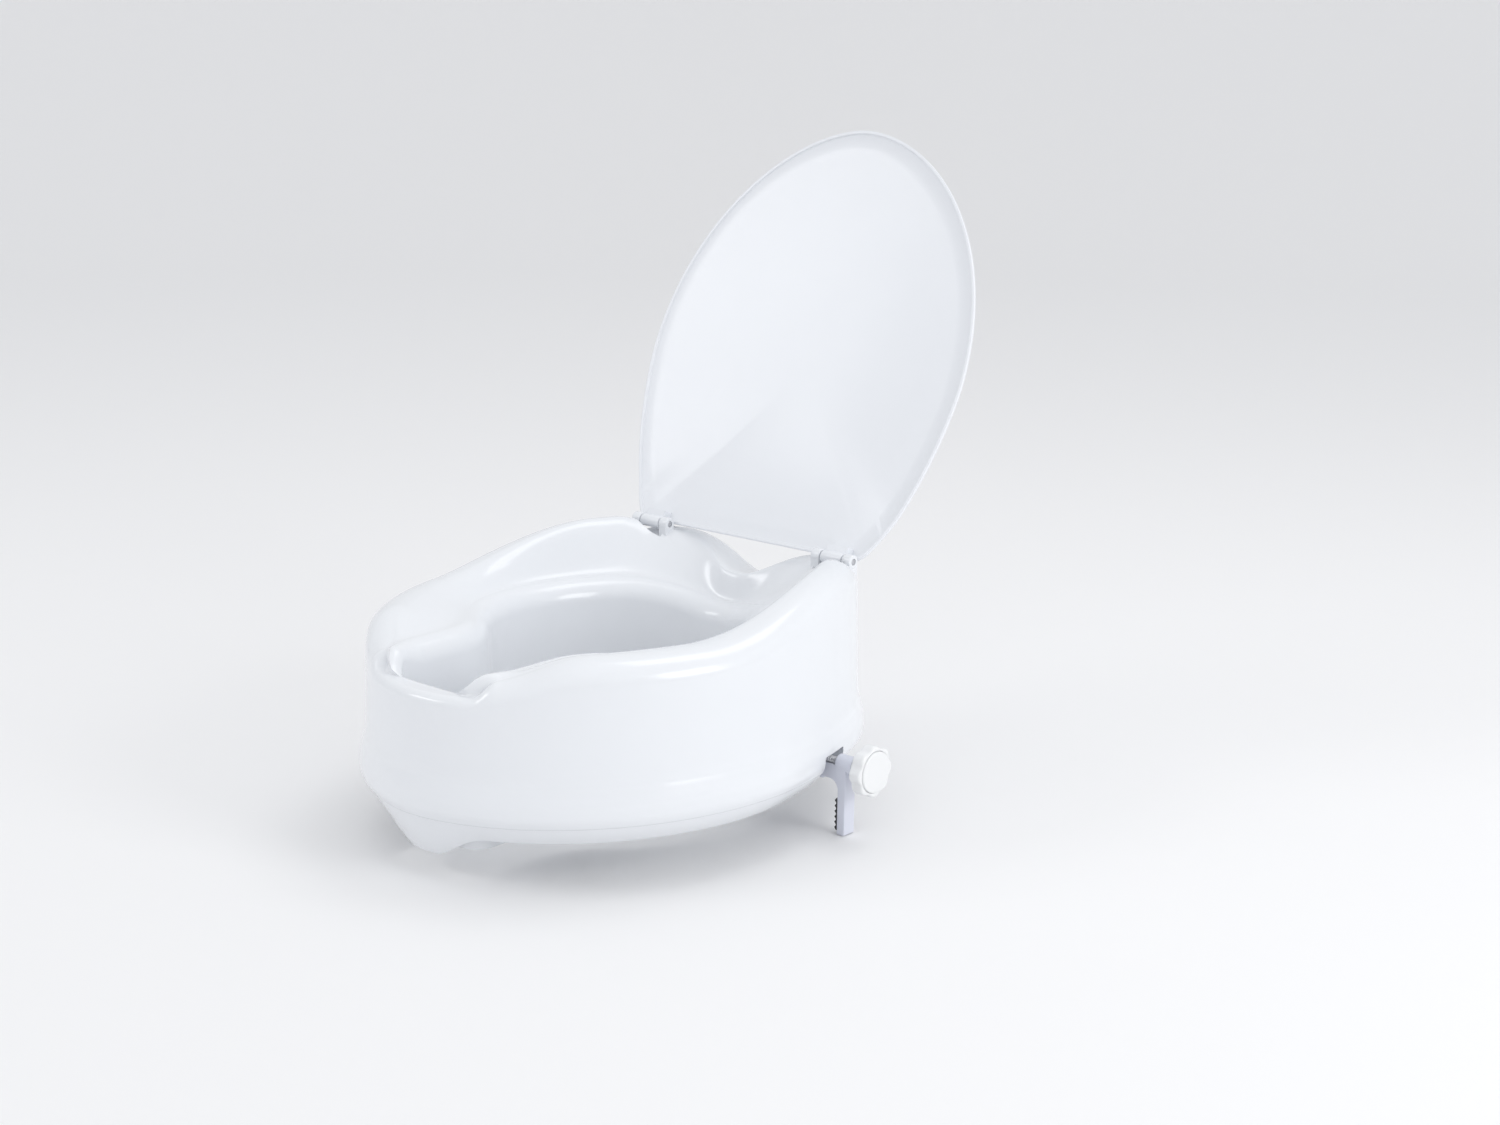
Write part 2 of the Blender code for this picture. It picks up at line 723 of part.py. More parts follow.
def add_knuckle(lid, side_name, side):
    """The lid's knuckle: a barrel round the pin joined to the lid's rear edge by a block."""
    half = KNUCKLE_WIDTH / 2
    barrel = turned_mesh([(-half, 0), (-half, EAR_RADIUS - GAP), (half, EAR_RADIUS - GAP), (half, 0)], 16)
    bmesh.ops.translate(barrel, vec=(side * HINGE_X, 0, 0), verts=barrel.verts)
    reach = EAR_RADIUS * 0.8
    low = (side * HINGE_X - half + GAP, -LID_EDGE_SETBACK - 2 * reach, 0)
    high = (side * HINGE_X + half - GAP, -LID_EDGE_SETBACK - GAP, LID_RISE + LID_RIM_DEPTH + LID_THICK * 0.8)
    block = box_mesh(low, high)
    radius = PIN_RADIUS + GAP
    bore = turned_mesh([(-half * 1.2, 0), (-half * 1.2, radius), (half * 1.2, radius), (half * 1.2, 0)], 16)
    bmesh.ops.translate(bore, vec=(side * HINGE_X, 0, 0), verts=bore.verts)
    steps = ((f"knuckle_{side_name}", barrel, "UNION"), (f"knuckle_block_{side_name}", block, "UNION"),
             (f"knuckle_bore_{side_name}", bore, "DIFFERENCE"))
    for name, builder, operation in steps:
        cutter = add_cutter(name, builder)
        cutter.location = lid.location
        cutter.rotation_euler = lid.rotation_euler
        combine(lid, cutter, operation)


def make_pins():
    for side_name, side in HINGE_SIDES.items():
        length = hinge_reach()
        chamfer = PIN_RADIUS * 0.2
        profile = [(-length / 2, 0), (-length / 2, PIN_RADIUS - chamfer), (-length / 2 + chamfer, PIN_RADIUS),
                   (length / 2 - chamfer, PIN_RADIUS), (length / 2, PIN_RADIUS - chamfer), (length / 2, 0)]
        pin = add_object(f"hinge_pin_{side_name}", turned_mesh(profile, 16), STEEL)
        pin.location = (side * HINGE_X, HINGE_Y, hinge_z())


# Clamps, each given for the right side


def clamp_axis(item):
    """Puts a turned piece on the stud's axis."""
    item.location = (0, CLAMP_Y, STUD_Z)


def arc(centre, radius, start, end, steps):
    """Points on an arc in the XZ plane, with its angles in degrees."""
    angles = [math.radians(start + (end - start) * i / steps) for i in range(steps + 1)]
    return [(centre[0] + radius * math.cos(a), centre[1] + radius * math.sin(a)) for a in angles]


def bracket_outline():
    """The arm and the leg in side view, clockwise from the arm's inner end, as (x, z)."""
    leg_inner = LEG_OUTER_X - LEG_THICK
    round_in = (leg_inner - INSIDE_ROUND, ARM_LOW_Z - INSIDE_ROUND)
    round_out = (LEG_OUTER_X - OUTSIDE_ROUND, ARM_HIGH_Z - OUTSIDE_ROUND)
    round_end = (ARM_INNER_X + ARM_END_ROUND, ARM_HIGH_Z - ARM_END_ROUND)
    outline = [(ARM_INNER_X, ARM_LOW_Z)]
    outline += arc(round_end, ARM_END_ROUND, 180, 90, 3)
    outline += arc(round_out, OUTSIDE_ROUND, 90, 0, 4)
    outline += arc((LEG_OUTER_X - LEG_END_ROUND, LEG_BOTTOM_Z + LEG_END_ROUND), LEG_END_ROUND, 0, -90, 3)
    outline += arc((leg_inner + LEG_END_ROUND, LEG_BOTTOM_Z + LEG_END_ROUND), LEG_END_ROUND, -90, -180, 3)
    outline += arc(round_in, INSIDE_ROUND, 0, 90, 5)
    return outline


def extruded(outline, side, half):
    """An outline in XZ drawn out along Y to both sides of the clamp's middle."""
    builder = bmesh.new()
    ends = []
    for y in (CLAMP_Y - half, CLAMP_Y + half):
        ends.append([builder.verts.new((side * x, y, z)) for x, z in outline])
    join_rings(builder, ends)
    builder.faces.new(ends[0])
    builder.faces.new(ends[1])
    return builder


def arm_channel(name, side, start, end, half, low):
    """A cutter that opens the arm's top for what turns in it."""
    low_corner = (start, CLAMP_Y - half, low)
    high_corner = (end, CLAMP_Y + half, ARM_HIGH_Z + 0.01)
    return add_cutter(name, side_box(side, low_corner, high_corner))


def make_bracket(side_name, side):
    """The hooked bracket: a tongue in the housing, an arm, a leg over the rim and a lug for the stud."""
    half = ARM_WIDTH / 2
    hook = extruded(bracket_outline(), side, half)
    bracket = add_object(f"clamp_bracket_{side_name}", hook, BRACKET_PLASTIC)
    tongue = side_box(side, (TONGUE_INNER_X, CLAMP_Y - half + GAP, TONGUE_LOW_Z),
                      (ARM_INNER_X + TONGUE_OVERLAP, CLAMP_Y + half - GAP, TONGUE_HIGH_Z))
    lug = turned_mesh([(LUG_INNER_X, 0), (LUG_INNER_X, LUG_RADIUS), (LUG_OUTER_X, LUG_RADIUS),
                       (LUG_OUTER_X, 0)], 20, side)
    bmesh.ops.translate(lug, vec=(0, CLAMP_Y, STUD_Z), verts=lug.verts)
    brace = side_box(side, (LUG_INNER_X + GAP, CLAMP_Y - half + GAP, ARM_HIGH_Z - 0.004),
                     (LEG_OUTER_X - GAP, CLAMP_Y + half - GAP, STUD_Z + LUG_RADIUS / 2))
    radius = STUD_RADIUS + GAP
    bore = turned_mesh([(LUG_INNER_X - 0.01, 0), (LUG_INNER_X - 0.01, radius), (LUG_OUTER_X + 0.01, radius),
                        (LUG_OUTER_X + 0.01, 0)], 20, side)
    bmesh.ops.translate(bore, vec=(0, CLAMP_Y, STUD_Z), verts=bore.verts)
    run = STUD_RADIUS + SLIDE_GAP
    name = f"stud_channel_{side_name}"
    stud_channel = arm_channel(name, side, ARM_INNER_X - 0.01, LUG_INNER_X, run, STUD_Z - run)
    run = RING_RADIUS + SLIDE_GAP
    ring_channel = arm_channel(f"ring_channel_{side_name}", side, LUG_INNER_X - RING_THICK - 3 * GAP,
                               LUG_INNER_X, run, STUD_Z - run)
    combine(bracket, add_cutter(f"tongue_{side_name}", tongue), "UNION")
    combine(bracket, stud_channel, "DIFFERENCE")
    combine(bracket, ring_channel, "DIFFERENCE")
    combine(bracket, add_cutter(f"lug_{side_name}", lug), "UNION")
    combine(bracket, add_cutter(f"brace_{side_name}", brace), "UNION")
    combine(bracket, add_cutter(f"lug_bore_{side_name}", bore), "DIFFERENCE")


def make_grip(side_name, side):
    """The toothed rubber strip on the leg's inner face."""
    half = ARM_WIDTH / 2 - 0.001
    face = LEG_OUTER_X - LEG_THICK - GAP
    pitch = GRIP_HEIGHT / GRIP_TEETH
    low = LEG_BOTTOM_Z + 0.003
    outline = [(face, low)]
    for i in range(GRIP_TEETH):
        outline.append((face - GRIP_THICK * 0.5, low + pitch * (i + 0.05)))
        outline.append((face - GRIP_THICK, low + pitch * (i + 0.5)))
        outline.append((face - GRIP_THICK * 0.5, low + pitch * (i + 0.95)))
    outline.append((face, low + GRIP_HEIGHT))
    add_object(f"grip_strip_{side_name}", extruded(outline, side, half), GRIP_RUBBER)


def ring_profile(start, thickness, inner, outer):
    return [(start, inner), (start, outer), (start + thickness, outer), (start + thickness, inner)]


def make_ring(name, start, thickness, outer, material, segments, side):
    profile = ring_profile(start, thickness, STUD_RADIUS + GAP, outer)
    item = add_object(name, turned_mesh(profile, segments, side), material)
    clamp_axis(item)


def make_stud(side_name, side):
    end = KNOB_OUTER_X - CAP_DEPTH - 2 * GAP
    chamfer = STUD_RADIUS * 0.25
    profile = [(STUD_INNER_X, 0), (STUD_INNER_X, STUD_RADIUS - chamfer),
               (STUD_INNER_X + chamfer, STUD_RADIUS),
               (end, STUD_RADIUS), (end, 0)]
    clamp_axis(add_object(f"clamp_stud_{side_name}", turned_mesh(profile, 20, side), STEEL))


def lobed_ring(x, scale, count):
    points = []
    for i in range(count):
        angle = 2 * math.pi * i / count
        radius = KNOB_RADIUS - LOBE_DEPTH * (0.5 - 0.5 * math.cos(KNOB_LOBES * angle))
        radius *= scale
        points.append((x, radius * math.cos(angle), radius * math.sin(angle)))
    return points


def make_knob(side_name, side):
    count = KNOB_LOBES * 4
    back = KNOB_INNER_X + HUB_LENGTH
    front = KNOB_OUTER_X
    bore = STUD_RADIUS + GAP
    recess = CAP_RADIUS + GAP
    floor = front - CAP_DEPTH - GAP
    profile = [(KNOB_INNER_X, bore), (KNOB_INNER_X, HUB_RADIUS), (back, HUB_RADIUS)]
    edge = 0.002
    builder = bmesh.new()
    rings = [lobed_circle(x, radius, count) for x, radius in profile]
    rings.append(lobed_ring(back, 0.93, count))
    rings.append(lobed_ring(back + edge, 1.0, count))
    rings.append(lobed_ring(front - edge, 1.0, count))
    rings.append(lobed_ring(front, 0.93, count))
    inside = ((front, recess), (floor, recess), (floor, bore))
    rings += [lobed_circle(x, radius, count) for x, radius in inside]
    verts = [[builder.verts.new((side * x, y, z)) for x, y, z in ring] for ring in rings]
    join_rings(builder, verts, closed=True)
    clamp_axis(add_object(f"clamp_knob_{side_name}", builder, KNOB_PLASTIC))


def lobed_circle(x, radius, count):
    angles = [2 * math.pi * i / count for i in range(count)]
    return [(x, radius * math.cos(a), radius * math.sin(a)) for a in angles]


def make_cap(side_name, side):
    back = KNOB_OUTER_X - CAP_DEPTH
    front = KNOB_OUTER_X + CAP_RISE
    profile = [(back, 0), (back, CAP_RADIUS), (front - 0.0008, CAP_RADIUS),
               (front, CAP_RADIUS - 0.002), (front, 0)]
    clamp_axis(add_object(f"knob_cap_{side_name}", turned_mesh(profile, 32, side), KNOB_PLASTIC))


def hexagon_ring(x, across, count):
    """A hexagon of the given width across its flats, with count points along it."""
    points = []
    for i in range(count):
        angle = 2 * math.pi * i / count
        radius = across / 2 / math.cos((angle % (math.pi / 3)) - math.pi / 6)
        points.append((x, radius * math.cos(angle), radius * math.sin(angle)))
    return points


def make_nut(side_name, side):
    count = 24
    bore = STUD_RADIUS + GAP
    end = NUT_X + NUT_THICK
    rings = [lobed_circle(NUT_X, bore, count), hexagon_ring(NUT_X, NUT_ACROSS, count)]
    rings += [hexagon_ring(end, NUT_ACROSS, count), lobed_circle(end, bore, count)]
    builder = bmesh.new()
    verts = [[builder.verts.new((side * x, y, z)) for x, y, z in ring] for ring in rings]
    join_rings(builder, verts, closed=True)
    clamp_axis(add_object(f"captive_nut_{side_name}", builder, STEEL))


def make_housing(side_name, side):
    """The block in the pocket that guides the arm and holds the nut."""
    half = HOUSING_WIDTH / 2
    low = (HOUSING_INNER_X, CLAMP_Y - half, BOTTOM_Z - GAP)
    high = (HOUSING_OUTER_X, CLAMP_Y + half, HOUSING_TOP_Z)
    housing = add_object(f"clamp_housing_{side_name}", side_box(side, low, high), BRACKET_PLASTIC)
    reach = FLANGE_WIDTH / 2
    flange = side_box(side, (HOUSING_INNER_X + GAP, CLAMP_Y - reach, BOTTOM_Z - GAP - FLANGE_THICK),
                      (FLANGE_OUTER_X, CLAMP_Y + reach, BOTTOM_Z - GAP))
    combine(housing, add_cutter(f"flange_{side_name}", flange), "UNION")
    arm_half = ARM_WIDTH / 2 + SLIDE_GAP
    channel = side_box(side, (HOUSING_INNER_X - 0.01, CLAMP_Y - arm_half, -0.01),
                       (HOUSING_OUTER_X + 0.01, CLAMP_Y + arm_half, TONGUE_HIGH_Z + SLIDE_GAP))
    combine(housing, add_cutter(f"channel_{side_name}", channel), "DIFFERENCE")
    radius = STUD_RADIUS + SLIDE_GAP
    bore = turned_mesh([(HOUSING_INNER_X - 0.01, 0), (HOUSING_INNER_X - 0.01, radius),
                        (HOUSING_OUTER_X + 0.01, radius), (HOUSING_OUTER_X + 0.01, 0)], 20, side)
    bmesh.ops.translate(bore, vec=(0, CLAMP_Y, STUD_Z), verts=bore.verts)
    combine(housing, add_cutter(f"stud_bore_{side_name}", bore), "DIFFERENCE")
    nut_half = NUT_ACROSS / math.sqrt(3) + GAP
    pocket = side_box(side, (NUT_X - GAP, CLAMP_Y - nut_half, STUD_Z - NUT_ACROSS / 2 - GAP),
                      (NUT_X + NUT_THICK + GAP, CLAMP_Y + nut_half, HOUSING_TOP_Z + 0.01))
    combine(housing, add_cutter(f"nut_pocket_{side_name}", pocket), "DIFFERENCE")
    for place, (x, y) in screw_places(side).items():
        flange_low = BOTTOM_Z - GAP - FLANGE_THICK
        hole = upright_cylinder(x, y, flange_low - 0.01, BOTTOM_Z + 0.01, SCREW_RADIUS + GAP)
        combine(housing, add_cutter(f"flange_hole_{side_name}_{place}", hole), "DIFFERENCE")
        sink = upright_cylinder(x, y, flange_low - 0.01, flange_low + SCREW_HEAD_THICK + GAP,
                                SCREW_HEAD_RADIUS + GAP)
        combine(housing, add_cutter(f"head_sink_{side_name}_{place}", sink), "DIFFERENCE")


def make_screws(side_name, side):
    for place, (x, y) in screw_places(side).items():
        low = BOTTOM_Z - GAP - FLANGE_THICK
        head = low + SCREW_HEAD_THICK
        top = low + SCREW_LENGTH
        builder = bmesh.new()
        rings = []
        for radius, z in ((SCREW_HEAD_RADIUS, low), (SCREW_HEAD_RADIUS, head), (SCREW_RADIUS, head),
                          (SCREW_RADIUS, top - SCREW_RADIUS), (SCREW_RADIUS * 0.3, top)):
            angles = [2 * math.pi * i / 12 for i in range(12)]
            rings.append([builder.verts.new((radius * math.cos(a), radius * math.sin(a), z)) for a in angles])
        join_rings(builder, rings)
        builder.faces.new(rings[0])
        builder.faces.new(rings[-1])
        screw = add_object(f"housing_screw_{side_name}_{place}", builder, STEEL)
        screw.location = (x, y, 0)


def make_clamps():
    for side_name, side in HINGE_SIDES.items():
        make_bracket(side_name, side)
        make_grip(side_name, side)
        make_stud(side_name, side)
        make_ring(f"retaining_ring_{side_name}", LUG_INNER_X - GAP - RING_THICK, RING_THICK, RING_RADIUS,
                  STEEL, 20, side)
        name = f"clamp_washer_{side_name}"
        make_ring(name, LUG_OUTER_X + GAP, WASHER_THICK, WASHER_RADIUS, STEEL, 20, side)
        make_knob(side_name, side)
        make_cap(side_name, side)
        make_nut(side_name, side)
        make_housing(side_name, side)
        make_screws(side_name, side)


make_body()
make_pads()
make_lid()
make_pins()
make_clamps()
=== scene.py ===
"""The looks of the raised toilet seat: fine surfaces, materials, floor, light and camera."""

import math

import bmesh
import bpy
from mathutils import Matrix, Vector


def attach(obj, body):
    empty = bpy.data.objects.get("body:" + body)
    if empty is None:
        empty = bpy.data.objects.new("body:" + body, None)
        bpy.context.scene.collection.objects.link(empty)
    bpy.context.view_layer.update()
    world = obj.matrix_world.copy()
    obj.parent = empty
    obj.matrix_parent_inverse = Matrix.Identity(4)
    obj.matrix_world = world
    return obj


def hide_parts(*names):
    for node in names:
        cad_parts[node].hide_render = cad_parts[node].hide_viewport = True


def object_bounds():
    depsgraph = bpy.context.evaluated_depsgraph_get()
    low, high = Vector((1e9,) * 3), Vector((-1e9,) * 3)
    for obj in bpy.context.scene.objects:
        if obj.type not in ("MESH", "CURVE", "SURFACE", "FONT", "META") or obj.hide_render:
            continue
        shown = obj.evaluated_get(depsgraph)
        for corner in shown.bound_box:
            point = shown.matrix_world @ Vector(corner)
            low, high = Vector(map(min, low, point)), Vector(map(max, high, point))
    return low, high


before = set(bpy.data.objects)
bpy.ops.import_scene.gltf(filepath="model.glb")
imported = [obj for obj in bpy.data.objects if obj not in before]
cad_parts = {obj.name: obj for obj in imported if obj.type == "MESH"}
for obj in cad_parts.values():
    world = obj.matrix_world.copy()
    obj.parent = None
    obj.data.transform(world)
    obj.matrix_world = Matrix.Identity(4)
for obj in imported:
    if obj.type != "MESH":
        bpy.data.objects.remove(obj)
CAD_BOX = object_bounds()

# Sizes in metres, the same as the model's

SEAT_WIDTH, SEAT_DEPTH, WIDEST_Y = 0.360, 0.432, 0.005
FRONT_SIDE_POWER, FRONT_END_POWER = 1.82, 2.01
REAR_SIDE_POWER, REAR_END_POWER = 3.46, 1.58
FRONT_HEIGHT, REAR_HEIGHT = 0.142, 0.170
RISE_FRONT_Y, RISE_REAR_Y = -0.050, 0.130
HINGE_DROP, HINGE_DROP_START, HINGE_DROP_END = 0.010, 0.150, 0.195
INNER_HEIGHT = 0.128
FRONT_SAG, SAG_HALF = 0.018, 0.130
NOTCH_DEPTH, NOTCH_FLAT_HALF, NOTCH_HALF = 0.013, 0.053, 0.072
NOTCH_MARGIN, SAG_OVERLAP, DIP_FADE_Y = 0.004, 0.005, 0.12
DIP_DEPTH, INNER_DIP_DEPTH, DIP_HALF = 0.026, 0.018, 0.048
OPENING_HALF_WIDTH, OPENING_FRONT_MARGIN, OPENING_REAR_MARGIN = 0.104, 0.024, 0.081
NECK_HALF_WIDTH, NECK_CORNER, NECK_LENGTH = 0.046, 0.016, 0.070
FLARE_START, FLARE_END, REAR_REACH, REAR_SHARE = 0.060, 0.070, 0.078, 0.52
WALL = 0.0035
OUTER_ROUND, OUTER_ROUND_RISE, NOTCH_ROUND, DIP_ROUND = 0.024, 0.020, 0.008, 0.055
INNER_FILLET, NOTCH_INNER_FILLET, ROUNDS_SHARE = 0.018, 0.005, 0.85
BAND_INSET, BAND_TOP_Z, BAND_DROP, BAND_OUT = 0.006, 0.013, 0.002, 0.0035
BAND_REAR_RISE, BAND_RISE_FRONT_Y, BAND_RISE_REAR_Y = 0.0035, -0.040, 0.100
LEDGE, COLLAR_OUT, COLLAR_LOW_Z, COLLAR_HIGH_Z = 0.0015, 0.008, 0.023, 0.030
COLLAR_TOP_Z, COLLAR_TOP_OUT = 0.050, 0.003
LIP_DROP, LIP_SLOPE, LIP_HALF, LIP_FLAT_HALF = 0.020, 0.25, 0.062, 0.012
SKIRT_DROP, SKIRT_WALL, SKIRT_DRAFT = 0.016, 0.004, 0.003
HINGE_Y, HINGE_RISE, HINGE_X = 0.168, 0.004, 0.105
HINGE_Z = REAR_HEIGHT - HINGE_DROP + HINGE_RISE
LID_OPEN = math.radians(114)
LID_THICK, LID_INSET, LID_RISE = 0.0032, 0.0055, 0.0065
LID_BEND_RISE, LID_BEND_LENGTH = 0.0040, 0.045
LID_EDGE_SETBACK, LID_RIM_DEPTH, LID_RIM_WIDTH = 0.002, 0.002, 0.003
LID_DOME, LID_CORNER = 0.010, 0.012
KNUCKLE_WIDTH, EAR_WIDTH, EAR_RADIUS = 0.022, 0.009, 0.0058
PIN_RADIUS, HINGE_GAP, KNUCKLE_ROOM_RADIUS = 0.0025, 0.0012, 0.0135
CLAMP_Y, ARM_WIDTH, ARM_LOW_Z, ARM_HIGH_Z = 0.087, 0.0135, 0.0068, 0.0192
ARM_INNER_X, TONGUE_INNER_X, TONGUE_LOW_Z, TONGUE_HIGH_Z = 0.1625, 0.126, 0.0050, 0.0115
LEG_OUTER_X, LEG_THICK, LEG_BOTTOM_Z, LEG_END_ROUND = 0.192, 0.008, -0.040, 0.0015
INSIDE_ROUND, OUTSIDE_ROUND, ARM_END_ROUND, TONGUE_OVERLAP = 0.009, 0.005, 0.0025, 0.006
STUD_RADIUS, STUD_Z, STUD_INNER_X, THREAD_PITCH = 0.004, 0.020, 0.118, 0.002
LUG_RADIUS, LUG_INNER_X, LUG_OUTER_X = 0.0075, 0.181, 0.1975
RING_RADIUS, RING_THICK, WASHER_RADIUS, WASHER_THICK = 0.0053, 0.0015, 0.008, 0.0012
HUB_RADIUS, HUB_LENGTH, KNOB_RADIUS, KNOB_THICK = 0.010, 0.007, 0.0217, 0.0113
KNOB_LOBES, LOBE_DEPTH = 8, 0.0022
CAP_RADIUS, CAP_DEPTH, CAP_RISE = 0.0173, 0.002, 0.0012
HOUSING_OUTER_X, HOUSING_WIDTH, HOUSING_TOP_Z, POCKET_INNER_X = 0.148, 0.028, 0.032, 0.110
SLOT_WIDTH, SLOT_TOP_Z = 0.034, 0.0275
GRIP_THICK, GRIP_HEIGHT, GRIP_TEETH, GRIP_MARGIN, GRIP_RISE = 0.003, 0.028, 6, 0.001, 0.003
PAD_THICK, GAP, SLIDE_GAP = 0.0032, 0.0003, 0.0005
BOTTOM_Z = PAD_THICK + GAP
KNOB_INNER_X = LUG_OUTER_X + WASHER_THICK + 2 * GAP
KNOB_OUTER_X = KNOB_INNER_X + HUB_LENGTH + KNOB_THICK
SIDES = {"left": -1, "right": 1}

# Rounded edges, thread and cutters, in metres

EAR_EDGE, KNUCKLE_EDGE, PIN_EDGE, SLOT_EDGE = 0.0008, 0.0007, 0.0005, 0.0015
BRACKET_EDGE, TONGUE_EDGE, LUG_EDGE, BRACE_EDGE = 0.0009, 0.0008, 0.0009, 0.0012
STRIP_EDGE, RING_EDGE, WASHER_EDGE = 0.0004, 0.0003, 0.0002
HUB_EDGE, HUB_FILLET, KNOB_EDGE, RECESS_EDGE, CAP_EDGE = 0.0006, 0.0012, 0.0022, 0.0004, 0.0012
SKIRT_EDGE, WALL_FOOT_EDGE, TROUGH_EDGE = 0.0006, 0.0006, 0.0015
THREAD_DEPTH, THREAD_FADE, STUD_TIP = 0.0009, 0.0015, 0.0007
POCKET_BOTTOM_Z, CUT_MARGIN, SLOT_MARGIN, PIN_BORE_MARGIN = -0.03, 0.01, 0.03, 0.006
BRACE_DEPTH, BLOCK_LIFT = 0.004, 0.0007

# Fineness of the surfaces

OUTLINE_STEPS, BEZIER_STEPS, NORMAL_ROUNDS = 720, 80, 3
NOTCH_STATIONS, CORNER_STATIONS, SIDE_STATIONS = 14, 18, 120
FILLET_STEPS, TOP_STEPS, BAND_STEPS, COLLAR_STEPS = 10, 14, 6, 5
LID_STATIONS, LID_REAR_STATIONS, LID_CORNER_STEPS = 110, 14, 16
LID_RINGS, LID_SMOOTHINGS = 12, 60
THREAD_STEPS, THREAD_SEGMENTS, EDGE_SEGMENTS = 6, 24, 3
ROOM_SEGMENTS, BARREL_SEGMENTS, PIN_BORE_SEGMENTS = 48, 40, 32
LUG_SEGMENTS, STUD_BORE_SEGMENTS, WASHER_SEGMENTS, CAP_SEGMENTS = 56, 48, 64, 96
LOBE_SEGMENTS, KNOB_EDGE_STEPS, CAP_EDGE_STEPS = 22, 6, 5

# Angles in degrees over which an edge is beveled, or shaded sharp

SOFTENED_ANGLE, SHARP_ANGLE, SHELL_SHARP_ANGLE, KNOB_SHARP_ANGLE = 50, 35, 32, 40

# Stage, world and camera

FLOOR_RADIUS, FLOOR_CURVE, FLOOR_CURVE_STEPS, FLOOR_SEGMENTS, FLOOR_DROP = 4.0, 3.0, 24, 96, 0.0005
FLOOR_COLOUR, FLOOR_ROUGHNESS = (0.90, 0.90, 0.905, 1.0), 0.75
WORLD_COLOUR, WORLD_STRENGTH = (0.97, 0.98, 1.0, 1.0), 0.84
CAMERA_AZIMUTH, CAMERA_ELEVATION, CAMERA_DISTANCE = 43.15, 16.75, 1.899
CAMERA_TARGET, CAMERA_LENS, CAMERA_SENSOR = (0, 0.065, 0.058), 53.2, 36.0
CAMERA_SHIFT_X, CAMERA_SHIFT_Y = 0.0602, 0.0780


def smoothstep(low, high, value):
    share = min(1.0, max(0.0, (value - low) / (high - low)))
    return share * share * (3 - 2 * share)


def mix(first, second, share):
    return first + (second - first) * share


# Materials


def node(tree, kind, **inputs):
    item = tree.nodes.new(kind)
    for name, value in inputs.items():
        item.inputs[name.replace("_", " ")].default_value = value
    return item


def noise(tree, scale, detail):
    coordinates = tree.nodes.new("ShaderNodeTexCoord")
    item = node(tree, "ShaderNodeTexNoise", Scale=scale, Detail=detail, Roughness=0.5)
    tree.links.new(coordinates.outputs["Object"], item.inputs["Vector"])
    return item


def varied_colour(tree, shader, colour, shade, scale):
    """The base colour drifting between itself and a slightly darker shade."""
    source = noise(tree, scale, 4.0)
    ramp = tree.nodes.new("ShaderNodeValToRGB")
    ramp.color_ramp.elements[0].position = 0.35
    ramp.color_ramp.elements[0].color = (*(c * shade for c in colour), 1.0)
    ramp.color_ramp.elements[1].position = 0.65
    ramp.color_ramp.elements[1].color = (*colour, 1.0)
    tree.links.new(source.outputs["Fac"], ramp.inputs["Fac"])
    tree.links.new(ramp.outputs["Color"], shader.inputs["Base Color"])


def varied_roughness(tree, shader, low, high, scale):
    source = noise(tree, scale, 5.0)
    span = tree.nodes.new("ShaderNodeMapRange")
    span.inputs["From Min"].default_value = 0.3
    span.inputs["From Max"].default_value = 0.7
    span.inputs["To Min"].default_value = low
    span.inputs["To Max"].default_value = high
    tree.links.new(source.outputs["Fac"], span.inputs["Value"])
    tree.links.new(span.outputs["Result"], shader.inputs["Roughness"])


def bumped(tree, shader, layers, edge):
    """Bumps, given as (scale, depth) pairs, over edges softened by the given radius, if there is one."""
    last = None
    if edge:
        last = node(tree, "ShaderNodeBevel", Radius=edge)
        last.samples = 4
    for scale, depth in layers:
        bump = node(tree, "ShaderNodeBump", Strength=1.0, Distance=depth)
        tree.links.new(noise(tree, scale, 2.0).outputs["Fac"], bump.inputs["Height"])
        if last:
            tree.links.new(last.outputs["Normal"], bump.inputs["Normal"])
        last = bump
    tree.links.new(last.outputs["Normal"], shader.inputs["Normal"])


def material(name, colour, roughness, shade, drift, layers, edge=0.0, metallic=0.0):
    """A node material: its colour and roughness drift, and its surface has bump layers."""
    made = bpy.data.materials.new(name)
    made.use_nodes = True
    tree = made.node_tree
    shader = tree.nodes["Principled BSDF"]
    shader.inputs["Metallic"].default_value = metallic
    varied_colour(tree, shader, colour, shade, drift)
    varied_roughness(tree, shader, roughness[0], roughness[1], drift * 12)
    bumped(tree, shader, layers, edge)
    return made


def gloss_plastic(name, colour, roughness, layers):
    made = material(name, colour, roughness, 0.985, 7.0, layers)
    shader = made.node_tree.nodes["Principled BSDF"]
    shader.inputs["IOR"].default_value = 1.5
    shader.inputs["Coat Weight"].default_value = 0.25
    shader.inputs["Coat Roughness"].default_value = 0.12
    return made


